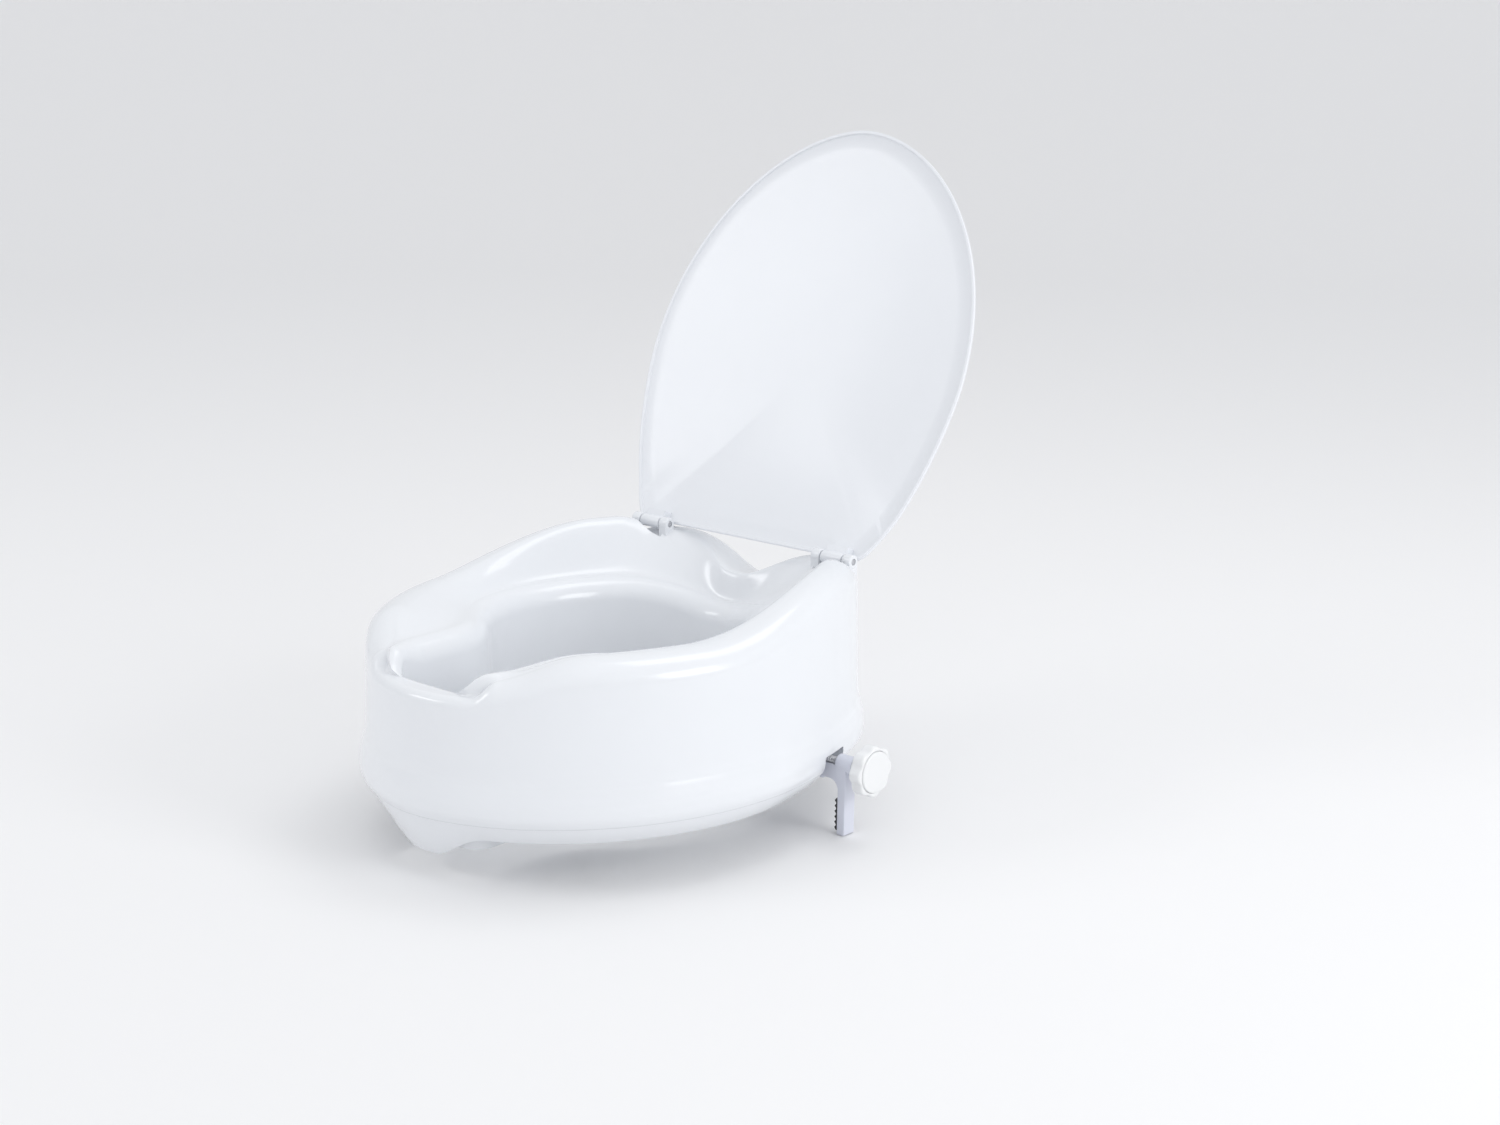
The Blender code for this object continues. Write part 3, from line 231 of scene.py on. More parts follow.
SHELL = gloss_plastic(
    "shell_gloss", (0.845, 0.865, 0.895), (0.17, 0.20), ((8.0, 0.00022), (60.0, 0.000012))
)
LID = gloss_plastic(
    "lid_gloss", (0.850, 0.870, 0.905), (0.300, 0.325), ((6.0, 0.00010), (60.0, 0.000008))
)
KNOB = gloss_plastic("knob_satin", (0.880, 0.890, 0.895), (0.28, 0.36), ((90.0, 0.00003),))
BRACKET = material("bracket_satin", (0.74, 0.76, 0.85), (0.32, 0.40), 0.97, 40.0, ((300.0, 0.00002),))
STEEL = material(
    "zinc_steel", (0.62, 0.63, 0.66), (0.26, 0.42), 0.86, 160.0, ((700.0, 0.00001),), 0.0002, metallic=1.0
)
GRIP = material(
    "grip_rubber", (0.055, 0.055, 0.06), (0.62, 0.80), 0.75, 220.0, ((1400.0, 0.00004),), 0.0003
)
PAD = material(
    "pad_rubber", (0.36, 0.37, 0.38), (0.60, 0.78), 0.85, 180.0, ((1200.0, 0.00004),), 0.0004
)


# Mesh helpers


def link(name, mesh, skin, angle=SHARP_ANGLE):
    item = bpy.data.objects.new(name, mesh)
    bpy.context.scene.collection.objects.link(item)
    mesh.materials.clear()
    mesh.materials.append(skin)
    mesh.shade_smooth()
    mesh.set_sharp_from_angle(angle=math.radians(angle))
    return item


def mesh_of(name, builder):
    bmesh.ops.recalc_face_normals(builder, faces=builder.faces)
    mesh = bpy.data.meshes.new(name)
    builder.to_mesh(mesh)
    builder.free()
    return mesh


def join_rings(builder, rings, closed=False):
    """Faces between neighbouring rings, and from the last to the first if closed. A ring may be one point."""
    pairs = list(zip(rings, rings[1:]))
    if closed:
        pairs.append((rings[-1], rings[0]))
    for first, second in pairs:
        count = max(len(first), len(second))
        for i in range(count):
            j = (i + 1) % count
            corners = [first[i % len(first)], first[j % len(first)]]
            corners += [second[j % len(second)], second[i % len(second)]]
            builder.faces.new(list(dict.fromkeys(corners)))


def box(low, high, side=1):
    """A box between two corners, mirrored to negative X for side -1."""
    if side < 0:
        low, high = (-high[0], low[1], low[2]), (-low[0], high[1], high[2])
    builder = bmesh.new()
    bmesh.ops.create_cube(builder, size=1.0)
    bmesh.ops.scale(builder, vec=Vector(high) - Vector(low), verts=builder.verts)
    bmesh.ops.translate(builder, vec=(Vector(low) + Vector(high)) / 2, verts=builder.verts)
    return builder


def softened(builder, width):
    """The solid with rounded edges."""
    bmesh.ops.recalc_face_normals(builder, faces=builder.faces)
    edges = [
        e for e in builder.edges
        if len(e.link_faces) == 2 and e.calc_face_angle(0) > math.radians(SOFTENED_ANGLE)
    ]
    bmesh.ops.bevel(builder, geom=edges, offset=width, segments=EDGE_SEGMENTS, profile=0.5, affect="EDGES")
    return builder


def circle(builder, x, radius, segments):
    """A ring of points about the X axis, or one point for no radius."""
    if radius == 0:
        return [builder.verts.new((x, 0, 0))]
    angles = [2 * math.pi * i / segments for i in range(segments)]
    return [builder.verts.new((x, radius * math.cos(a), radius * math.sin(a))) for a in angles]


def turned(profile, segments, side, middle):
    """Turns (x, radius) points about the X axis through the middle."""
    builder = bmesh.new()
    rings = [circle(builder, side * x, radius, segments) for x, radius in profile]
    join_rings(builder, rings, closed=profile[0][1] != 0)
    bmesh.ops.translate(builder, vec=middle, verts=builder.verts)
    return builder


def cylinder(start, end, radius, segments, side, middle):
    return turned([(start, 0), (start, radius), (end, radius), (end, 0)], segments, side, middle)


def rounded(start, end, inner, outer, corner, steps):
    """A profile of a turned ring or disc whose two outer corners are rounded."""
    points = [(start, inner)]
    for i in range(steps + 1):
        a = math.pi / 2 * i / steps
        points.append((start + corner * (1 - math.cos(a)), outer - corner + corner * math.sin(a)))
    for i in range(steps, -1, -1):
        a = math.pi / 2 * i / steps
        points.append((end - corner * (1 - math.cos(a)), outer - corner + corner * math.sin(a)))
    points.append((end, inner))
    return points


def carved(base, steps):
    """The base mesh after the Boolean steps, given as (operation, mesh builder), with small gaps filled."""
    item = bpy.data.objects.new("carving", base)
    bpy.context.scene.collection.objects.link(item)
    cutters = []
    for operation, builder in steps:
        cutter = bpy.data.objects.new("cutter", mesh_of("cutter", builder))
        bpy.context.scene.collection.objects.link(cutter)
        modifier = item.modifiers.new("carve", "BOOLEAN")
        modifier.object = cutter
        modifier.operation = operation
        modifier.solver = "EXACT"
        cutters.append(cutter)
    bpy.context.view_layer.update()
    graph = bpy.context.evaluated_depsgraph_get()
    result = bpy.data.meshes.new_from_object(item.evaluated_get(graph))
    for unused in [item] + cutters:
        bpy.data.objects.remove(unused, do_unlink=True)
    builder = bmesh.new()
    builder.from_mesh(result)
    gaps = [edge for edge in builder.edges if edge.is_boundary]
    bmesh.ops.holes_fill(builder, edges=gaps, sides=4)
    builder.to_mesh(result)
    builder.free()
    return result


def place(item, body, slot, *nodes):
    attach(item, body)
    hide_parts(*nodes)


# Outlines in plan, each a half from the front centre to the rear centre


def normals(points):
    found = []
    for i in range(len(points)):
        along = points[min(len(points) - 1, i + 1)] - points[max(0, i - 1)]
        found.append(Vector((along.y, -along.x)).normalized())
    found[0] = Vector((0, -1))
    found[-1] = Vector((0, 1))
    return found


def wall_outline(inset=0.0):
    half_width = SEAT_WIDTH / 2
    points = []
    for i in range(OUTLINE_STEPS + 1):
        angle = math.pi * (i / OUTLINE_STEPS - 0.5)
        across = max(0.0, math.cos(angle))
        along = abs(math.sin(angle))
        if angle < 0:
            x = half_width * across ** (2 / FRONT_SIDE_POWER)
            y = WIDEST_Y - (WIDEST_Y + SEAT_DEPTH / 2) * along ** (2 / FRONT_END_POWER)
        else:
            x = half_width * across ** (2 / REAR_SIDE_POWER)
            y = WIDEST_Y + (SEAT_DEPTH / 2 - WIDEST_Y) * along ** (2 / REAR_END_POWER)
        points.append(Vector((x, y)))
    points[0].x = 0.0
    points[-1].x = 0.0
    if inset:
        shifted = [p - n * inset for p, n in zip(points, normals(points))]
        points = [p for p in shifted if p.x >= 0]
    return points


def bezier(start, start_handle, end_handle, end, steps=BEZIER_STEPS):
    """Points on a cubic Bezier curve in plan."""
    points = []
    for i in range(steps + 1):
        t = i / steps
        s = 1 - t
        weights = (s**3, 3 * s * s * t, 3 * s * t * t, t**3)
        corners = (start, start_handle, end_handle, end)
        points.append(sum((Vector(c) * w for c, w in zip(corners, weights)), Vector((0, 0))))
    return points


def opening_outline():
    """The opening's half in two parts: its front edge with the corner, and the rest."""
    front = -SEAT_DEPTH / 2 + OPENING_FRONT_MARGIN
    rear = SEAT_DEPTH / 2 - OPENING_REAR_MARGIN
    neck, wide, corner = NECK_HALF_WIDTH, OPENING_HALF_WIDTH, NECK_CORNER
    neck_end = front + NECK_LENGTH
    edge = bezier((0, front), (neck / 3, front), (neck / 2, front), (neck - corner, front + 0.001))
    turn = bezier(edge[-1], (neck - corner / 2, front + 0.0015), (neck, front + corner / 2),
                  (neck, front + corner + 0.002))
    side = bezier(turn[-1], (neck, neck_end - 0.03), (neck, neck_end - 0.02), (neck, neck_end))
    flare = bezier(side[-1], (neck, neck_end + FLARE_START), (wide, WIDEST_Y - FLARE_END), (wide, WIDEST_Y))
    back = bezier(flare[-1], (wide, WIDEST_Y + REAR_REACH), (wide * REAR_SHARE, rear), (0, rear))
    return edge + turn[1:], side[1:] + flare[1:] + back[1:]


def resample(points, count):
    """The same line in count equal lengths."""
    lengths = [0.0]
    for a, b in zip(points, points[1:]):
        lengths.append(lengths[-1] + (b - a).length)
    found = []
    index = 0
    for i in range(count + 1):
        target = lengths[-1] * i / count
        while index < len(points) - 2 and lengths[index + 1] < target:
            index += 1
        span = lengths[index + 1] - lengths[index]
        share = (target - lengths[index]) / span if span else 0.0
        found.append(points[index].lerp(points[index + 1], min(1.0, share)))
    return found


def split_at_x(points, limit):
    for i, point in enumerate(points):
        if point.x > limit:
            before = points[i - 1]
            share = (limit - before.x) / (point.x - before.x)
            cut = before.lerp(point, share)
            return points[:i] + [cut], [cut] + points[i:]
    return points, points[-1:]


def smoothed(vectors, rounds):
    """Unit vectors averaged with their neighbours, ends kept."""
    for _ in range(rounds):
        inner = [(a + b * 2 + c).normalized() for a, b, c in zip(vectors, vectors[1:], vectors[2:])]
        vectors = [vectors[0]] + inner + [vectors[-1]]
    return vectors


def stations():
    """The wall's and the opening's points, paired from front to rear, each with its outward normal."""
    outer = wall_outline()
    flat, rest = split_at_x(outer, NOTCH_FLAT_HALF)
    corner, side = split_at_x(rest, NOTCH_HALF + NOTCH_MARGIN)
    outer = resample(flat, NOTCH_STATIONS) + resample(corner, CORNER_STATIONS)[1:]
    outer += resample(side, SIDE_STATIONS)[1:]
    front, back = opening_outline()
    flat, turn = split_at_x(front, NECK_HALF_WIDTH - NECK_CORNER)
    inner = resample(flat, NOTCH_STATIONS) + resample(turn, CORNER_STATIONS)[1:]
    inner += resample([inner[-1]] + back, SIDE_STATIONS)[1:]
    outer[-1].x = 0.0
    inner[-1].x = 0.0
    outward, away = (smoothed(normals(line), NORMAL_ROUNDS) for line in (outer, inner))
    return list(zip(outer, outward, inner, away))


# Heights


def notch_share(point):
    if point.y > 0:
        return 0.0
    return 1 - smoothstep(NOTCH_FLAT_HALF, NOTCH_HALF, abs(point.x))


def sag_share(point):
    if point.y > 0:
        return 0.0
    return 1 - smoothstep(NOTCH_HALF - SAG_OVERLAP, SAG_HALF, abs(point.x))


def dip_share(point):
    if point.y < 0:
        return 0.0
    return math.exp(-((point.x / DIP_HALF) ** 2)) * smoothstep(0.0, DIP_FADE_Y, point.y)


def crest_height(y):
    rise = smoothstep(RISE_FRONT_Y, RISE_REAR_Y, y)
    return mix(FRONT_HEIGHT, REAR_HEIGHT, rise) - HINGE_DROP * smoothstep(HINGE_DROP_START, HINGE_DROP_END, y)


def outer_height(point):
    lowered = FRONT_SAG * sag_share(point) + NOTCH_DEPTH * notch_share(point)
    return crest_height(point.y) - lowered - DIP_DEPTH * dip_share(point)


def inner_height(point, notch):
    notch_drop = INNER_HEIGHT - FRONT_HEIGHT + FRONT_SAG + NOTCH_DEPTH
    return INNER_HEIGHT - notch_drop * notch - INNER_DIP_DEPTH * dip_share(point)


def lip_share(point):
    if point.y > 0:
        return 0.0
    return 1 - smoothstep(LIP_FLAT_HALF, LIP_HALF, abs(point.x))


# The moulded seat


def round_points(start, inward, top, reach, rise):
    """A quarter round from the start up to the top."""
    points = []
    for i in range(FILLET_STEPS + 1):
        angle = math.pi / 2 * i / FILLET_STEPS
        plan = start + inward * reach * (1 - math.cos(angle))
        points.append((plan.x, plan.y, top - rise + rise * math.sin(angle)))
    return points


def top_section(outer, outward, inner, away):
    """The section over the top, from the wall's outer round to the opening's fillet."""
    notch = notch_share(outer)
    reach = mix(mix(OUTER_ROUND, DIP_ROUND, dip_share(outer)), NOTCH_ROUND, notch)
    rise = mix(OUTER_ROUND_RISE, NOTCH_ROUND, notch)
    inner_radius = mix(INNER_FILLET, NOTCH_INNER_FILLET, notch)
    fit = min(1.0, ROUNDS_SHARE * (outer - inner).length / (reach + inner_radius))
    reach *= fit
    inner_radius *= fit
    high = outer_height(outer)
    low = inner_height(inner, notch)
    section = round_points(outer, -outward, high, reach, rise)
    start = outer - outward * reach
    end = inner + away * inner_radius
    for i in range(1, TOP_STEPS):
        share = i / TOP_STEPS
        plan = start.lerp(end, share)
        section.append((plan.x, plan.y, mix(high, low, smoothstep(0, 1, share))))
    return section + round_points(inner, away, low, inner_radius, inner_radius)[::-1]


def at_offset(point, direction, distance, height):
    plan = point + direction * distance
    return (plan.x, plan.y, height)


def through(points, steps):
    """A smooth curve through (offset, z) points."""
    found = []
    padded = [points[0]] + points + [points[-1]]
    for a, b, c, d in zip(padded, padded[1:], padded[2:], padded[3:]):
        for i in range(steps):
            t = i / steps
            found.append(tuple(
                0.5 * (2 * q + (r - p) * t + (2 * p - 5 * q + 4 * r - s) * t * t
                       + (3 * q - p - 3 * r + s) * t**3)
                for p, q, r, s in zip(a, b, c, d)
            ))
    return found + [points[-1]]


def collar_curve():
    """The collar from the ledge up to where it fades into the wall, as (offset, z)."""
    return through([
        (BAND_OUT + LEDGE, BAND_TOP_Z + LEDGE / 2),
        (mix(BAND_OUT + LEDGE, COLLAR_OUT, 0.82), mix(BAND_TOP_Z, COLLAR_LOW_Z, 0.62)),
        (COLLAR_OUT * 0.995, mix(COLLAR_LOW_Z, COLLAR_HIGH_Z, 0.25)),
        (COLLAR_OUT * 0.93, COLLAR_HIGH_Z + 0.002),
        (mix(COLLAR_OUT, COLLAR_TOP_OUT, 0.62), mix(COLLAR_HIGH_Z, COLLAR_TOP_Z, 0.58)),
        (COLLAR_TOP_OUT * 0.95, COLLAR_TOP_Z),
        (COLLAR_TOP_OUT * 0.60, COLLAR_TOP_Z + 0.020),
    ], COLLAR_STEPS)


COLLAR = collar_curve()


def body_section(outer, outward, inner, away):
    """The closed section: band, collar, wall, top, opening wall, skirt and underside."""
    lip = LIP_DROP * lip_share(outer)
    rise = BAND_REAR_RISE * smoothstep(BAND_RISE_FRONT_Y, BAND_RISE_REAR_Y, outer.y)
    edge_z = rise - BAND_DROP - lip
    edge_in = -BAND_INSET - LIP_SLOPE * lip
    section = [at_offset(outer, outward, edge_in - 0.0008, edge_z)]
    for i in range(BAND_STEPS + 1):
        share = i / BAND_STEPS
        bow = 0.0006 * math.sin(math.pi * share)
        section.append(at_offset(outer, outward, mix(edge_in, BAND_OUT, share) + bow,
                                 mix(edge_z + 0.0008, BAND_TOP_Z - 0.0004, share)))
    section.append(at_offset(outer, outward, BAND_OUT - 0.0001, BAND_TOP_Z))
    section.append(at_offset(outer, outward, BAND_OUT + LEDGE * 0.6, BAND_TOP_Z + LEDGE * 0.15))
    section += [at_offset(outer, outward, offset, z) for offset, z in COLLAR]
    section += top_section(outer, outward, inner, away)
    foot = inner - away * SKIRT_DRAFT
    section += [
        at_offset(foot, away, 0.0, -SKIRT_DROP + SKIRT_EDGE),
        at_offset(foot, away, SKIRT_EDGE, -SKIRT_DROP),
        at_offset(foot, away, SKIRT_WALL - SKIRT_EDGE, -SKIRT_DROP),
        at_offset(foot, away, SKIRT_WALL, -SKIRT_DROP + SKIRT_EDGE),
        at_offset(foot, away, SKIRT_WALL + SKIRT_DRAFT / 2, BOTTOM_Z - TROUGH_EDGE),
        at_offset(foot, away, SKIRT_WALL + SKIRT_DRAFT / 2 + TROUGH_EDGE, BOTTOM_Z),
        at_offset(outer, outward, -BAND_INSET - 2 * WALL - TROUGH_EDGE, BOTTOM_Z),
        at_offset(outer, outward, -BAND_INSET - 2 * WALL, BOTTOM_Z - 0.0010),
        at_offset(outer, outward, edge_in - WALL, edge_z + 0.0004),
        at_offset(outer, outward, edge_in - WALL + WALL_FOOT_EDGE, edge_z),
    ]
    return section


def loft():
    right = [body_section(*row) for row in stations()]
    left = [[(-x, y, z) for x, y, z in section] for section in right[-2:0:-1]]
    builder = bmesh.new()
    rings = [[builder.verts.new(point) for point in section] for section in right + left]
    join_rings(builder, rings, closed=True)
    return builder


def hinge_steps(side):
    """Room for the knuckle, an ear on a web at each end of it, and the pin's bore."""
    middle = (side * HINGE_X, HINGE_Y, HINGE_Z)
    half = (KNUCKLE_WIDTH + EAR_WIDTH) / 2 + HINGE_GAP + GAP
    steps = [("DIFFERENCE", cylinder(-half, half, KNUCKLE_ROOM_RADIUS, ROOM_SEGMENTS, 1, middle))]
    offset = (KNUCKLE_WIDTH + EAR_WIDTH) / 2 + HINGE_GAP
    for shift in (-1, 1):
        centre = (side * (HINGE_X + shift * offset), HINGE_Y, HINGE_Z)
        profile = rounded(-EAR_WIDTH / 2, EAR_WIDTH / 2, 0.0, EAR_RADIUS, EAR_EDGE, 3)
        steps.append(("UNION", turned(profile, BARREL_SEGMENTS, 1, centre)))
        web = EAR_WIDTH / 2 - GAP
        reach = EAR_RADIUS * 0.92
        low = (centre[0] - web, HINGE_Y - reach, INNER_HEIGHT)
        high = (centre[0] + web, HINGE_Y + reach, HINGE_Z + GAP)
        steps.append(("UNION", box(low, high)))
    reach = KNUCKLE_WIDTH / 2 + EAR_WIDTH + HINGE_GAP + PIN_BORE_MARGIN
    bore = cylinder(-reach, reach, PIN_RADIUS + GAP, PIN_BORE_SEGMENTS, 1, middle)
    steps.append(("DIFFERENCE", bore))
    return steps


def clamp_steps(side):
    """The housing's pocket, and the slot through the wall for the clamp."""
    half = HOUSING_WIDTH / 2 + GAP
    pocket = box((POCKET_INNER_X, CLAMP_Y - half, POCKET_BOTTOM_Z),
                 (HOUSING_OUTER_X + GAP, CLAMP_Y + half, HOUSING_TOP_Z + GAP), side)
    slot = box((HOUSING_OUTER_X - GAP, CLAMP_Y - SLOT_WIDTH / 2, POCKET_BOTTOM_Z),
               (SEAT_WIDTH / 2 + SLOT_MARGIN, CLAMP_Y + SLOT_WIDTH / 2, SLOT_TOP_Z), side)
    return [("DIFFERENCE", pocket), ("DIFFERENCE", softened(slot, SLOT_EDGE))]


def make_seat():
    steps = []
    for side in SIDES.values():
        steps += hinge_steps(side) + clamp_steps(side)
    item = link("moulded_seat", carved(mesh_of("moulded_seat", loft()), steps), SHELL, SHELL_SHARP_ANGLE)
    place(item, "seat", "shell_plastic", "seat_body")


# The lid, made closed about its hinge axis and then turned open


def lid_outline():
    edge_y = HINGE_Y - LID_EDGE_SETBACK
    points = [p for p in wall_outline(LID_INSET) if p.y < edge_y - LID_CORNER]
    last = points[-1]
    corner = bezier(last, (last.x - 0.004, edge_y - LID_CORNER * 0.4), (last.x - LID_CORNER * 0.7, edge_y),
                    (last.x - LID_CORNER * 1.3, edge_y), LID_CORNER_STEPS)
    edge = [corner[-1], Vector((0, edge_y))]
    outline = resample(points + corner[1:], LID_STATIONS - LID_REAR_STATIONS)
    outline += resample(edge, LID_REAR_STATIONS)[1:]
    outline[0].x = 0.0
    outline[-1].x = 0.0
    return [Vector((p.x, p.y - HINGE_Y)) for p in outline]


LID_OUTLINE = lid_outline()
LID_NORMALS = normals(LID_OUTLINE)


def lid_bend(y):
    return LID_BEND_RISE * smoothstep(0, LID_BEND_LENGTH, -y)


def lid_layer(inset, share, height):
    """A ring of the lid: its outline moved in by the inset, then drawn to the centre by the share."""
    centre = Vector((0.0, WIDEST_Y - HINGE_Y))
    half = [centre.lerp(p - n * inset, share) for p, n in zip(LID_OUTLINE, LID_NORMALS)]
    right = [(p.x, p.y, height + lid_bend(p.y)) for p in half]
    left = [(-p.x, p.y, height + lid_bend(p.y)) for p in half[-2:0:-1]]
    return right + left


def lid_builder():
    """The lid's plate with its rolled rim: rim underside and edge, outer face, then inner face."""
    floor = LID_RISE + LID_RIM_DEPTH
    rim = LID_RIM_WIDTH
    top = floor + LID_THICK
    edge = (
        (rim, LID_RISE + 0.0009), (rim - 0.0003, LID_RISE + 0.0003), (rim - 0.0009, LID_RISE),
        (0.0005, LID_RISE), (0.0001, LID_RISE + 0.0002), (0.0, LID_RISE + 0.0006),
        (0.0, floor + LID_THICK * 0.20), (0.0004, floor + LID_THICK * 0.45),
        (0.0012, floor + LID_THICK * 0.70), (0.0024, floor + LID_THICK * 0.90),
    )
    layers = [lid_layer(inset, 1.0, height) for inset, height in edge]
    for i in range(LID_RINGS, 0, -1):
        share = i / LID_RINGS
        layers.append(lid_layer(rim, share, top + LID_DOME * (1 - share * share)))
    top_count = len(layers)
    for i in range(1, LID_RINGS + 1):
        share = i / LID_RINGS
        layers.append(lid_layer(rim + 0.0008, share, floor + LID_DOME * (1 - share * share)))
    layers.append(lid_layer(rim + 0.0002, 1.0, floor - 0.0004))
    builder = bmesh.new()
    rings = [[builder.verts.new(point) for point in layer] for layer in layers]
    join_rings(builder, rings[:top_count])
    join_rings(builder, rings[top_count:])
    join_rings(builder, [rings[-1], rings[0]])
    centre_y = WIDEST_Y - HINGE_Y
    plate = [vert for ring in rings[top_count - LID_RINGS + 1:-2] for vert in ring]
    for ring, height in ((rings[top_count - 1], top + LID_DOME), (rings[top_count], floor + LID_DOME)):
        tip = builder.verts.new((0.0, centre_y, height + lid_bend(centre_y)))
        plate.append(tip)
        for first, second in zip(ring, ring[1:] + ring[:1]):
            builder.faces.new((first, second, tip))
    for _ in range(LID_SMOOTHINGS):
        bmesh.ops.smooth_vert(
            builder, verts=plate, factor=0.5, use_axis_x=False, use_axis_y=False, use_axis_z=True
        )
    return builder


def knuckle_steps(side):
    half = KNUCKLE_WIDTH / 2
    middle = (side * HINGE_X, 0, 0)
    profile = rounded(-half, half, 0.0, EAR_RADIUS - GAP, KNUCKLE_EDGE, 3)
    barrel = turned(profile, BARREL_SEGMENTS, 1, middle)
    reach = EAR_RADIUS * 0.8
    # The block's underside is kept off the plane through the barrel's axis, where the Boolean leaves gaps
    low = (side * HINGE_X - half + GAP, -LID_EDGE_SETBACK - 2 * reach, BLOCK_LIFT)
    high = (side * HINGE_X + half - GAP, -LID_EDGE_SETBACK - GAP, LID_RISE + LID_RIM_DEPTH + LID_THICK * 0.8)
    bore = cylinder(-half * 1.2, half * 1.2, PIN_RADIUS + GAP, PIN_BORE_SEGMENTS, 1, middle)
    return [("UNION", barrel), ("UNION", box(low, high)), ("DIFFERENCE", bore)]


def make_lid():
    mesh = carved(mesh_of("seat_lid", lid_builder()), knuckle_steps(-1) + knuckle_steps(1))
    mesh.transform(Matrix.Translation((0, HINGE_Y, HINGE_Z)) @ Matrix.Rotation(-LID_OPEN, 4, "X"))
    place(link("seat_lid", mesh, LID, SHELL_SHARP_ANGLE), "lid", "lid_plastic", "lid")


# The clamps


def arc(centre, radius, start, end, steps):
    """Points on an arc between two angles in degrees."""
    angles = [math.radians(start + (end - start) * i / steps) for i in range(steps + 1)]
    return [(centre[0] + radius * math.cos(a), centre[1] + radius * math.sin(a)) for a in angles]


def bracket_outline():
    """The hook's arm and leg as (x, z)."""
    leg_inner = LEG_OUTER_X - LEG_THICK
    outline = [(ARM_INNER_X, ARM_LOW_Z)]
    outline += arc((ARM_INNER_X + ARM_END_ROUND, ARM_HIGH_Z - ARM_END_ROUND), ARM_END_ROUND, 180, 90, 8)
    outline += arc((LEG_OUTER_X - OUTSIDE_ROUND, ARM_HIGH_Z - OUTSIDE_ROUND), OUTSIDE_ROUND, 90, 0, 10)
    outline += arc((LEG_OUTER_X - LEG_END_ROUND, LEG_BOTTOM_Z + LEG_END_ROUND), LEG_END_ROUND, 0, -90, 5)
    outline += arc((leg_inner + LEG_END_ROUND, LEG_BOTTOM_Z + LEG_END_ROUND), LEG_END_ROUND, -90, -180, 5)
    outline += arc((leg_inner - INSIDE_ROUND, ARM_LOW_Z - INSIDE_ROUND), INSIDE_ROUND, 0, 90, 16)
    return outline


def extruded(outline, side, half):
    builder = bmesh.new()
    ends = []
    for y in (CLAMP_Y - half, CLAMP_Y + half):
        ends.append([builder.verts.new((side * x, y, z)) for x, z in outline])
    join_rings(builder, ends)
    faces = [builder.faces.new(ends[0]), builder.faces.new(ends[1])]
    return builder, faces


def rimmed(outline, side, half, width):
    """An extruded outline whose two flat faces have rounded rims."""
    builder, faces = extruded(outline, side, half)
    bmesh.ops.recalc_face_normals(builder, faces=builder.faces)
    edges = list({edge for face in faces for edge in face.edges})
    bmesh.ops.bevel(builder, geom=edges, offset=width, segments=EDGE_SEGMENTS, profile=0.5, affect="EDGES")
    return builder


def stud_middle():
    return (0, CLAMP_Y, STUD_Z)


def make_bracket(name, side):
    half = ARM_WIDTH / 2
    tongue = box((TONGUE_INNER_X, CLAMP_Y - half + GAP, TONGUE_LOW_Z),
                 (ARM_INNER_X + TONGUE_OVERLAP, CLAMP_Y + half - GAP, TONGUE_HIGH_Z), side)
    brace = box((LUG_INNER_X + GAP, CLAMP_Y - half + GAP, ARM_HIGH_Z - BRACE_DEPTH),
                (LEG_OUTER_X - GAP, CLAMP_Y + half - GAP, STUD_Z + LUG_RADIUS / 2), side)
    profile = rounded(LUG_INNER_X, LUG_OUTER_X, 0.0, LUG_RADIUS, LUG_EDGE, 4)
    lug = turned(profile, LUG_SEGMENTS, side, stud_middle())
    bore = cylinder(LUG_INNER_X - CUT_MARGIN, LUG_OUTER_X + CUT_MARGIN, STUD_RADIUS + GAP,
                    STUD_BORE_SEGMENTS, side, stud_middle())
    run = STUD_RADIUS + SLIDE_GAP
    stud_channel = box((ARM_INNER_X - CUT_MARGIN, CLAMP_Y - run, STUD_Z - run),
                       (LUG_INNER_X, CLAMP_Y + run, ARM_HIGH_Z + CUT_MARGIN), side)
    run = RING_RADIUS + SLIDE_GAP
    ring_channel = box((LUG_INNER_X - RING_THICK - 3 * GAP, CLAMP_Y - run, STUD_Z - run),
                       (LUG_INNER_X, CLAMP_Y + run, ARM_HIGH_Z + CUT_MARGIN), side)
    steps = [("UNION", softened(tongue, TONGUE_EDGE)), ("DIFFERENCE", stud_channel),
             ("DIFFERENCE", ring_channel), ("UNION", lug), ("UNION", softened(brace, BRACE_EDGE)),
             ("DIFFERENCE", bore)]
    base = mesh_of("hook", rimmed(bracket_outline(), side, half, BRACKET_EDGE))
    item = link(f"hook_{name}", carved(base, steps), BRACKET, SHELL_SHARP_ANGLE)
    place(item, f"clamp_{name}", "bracket_plastic", f"clamp_bracket_{name}")


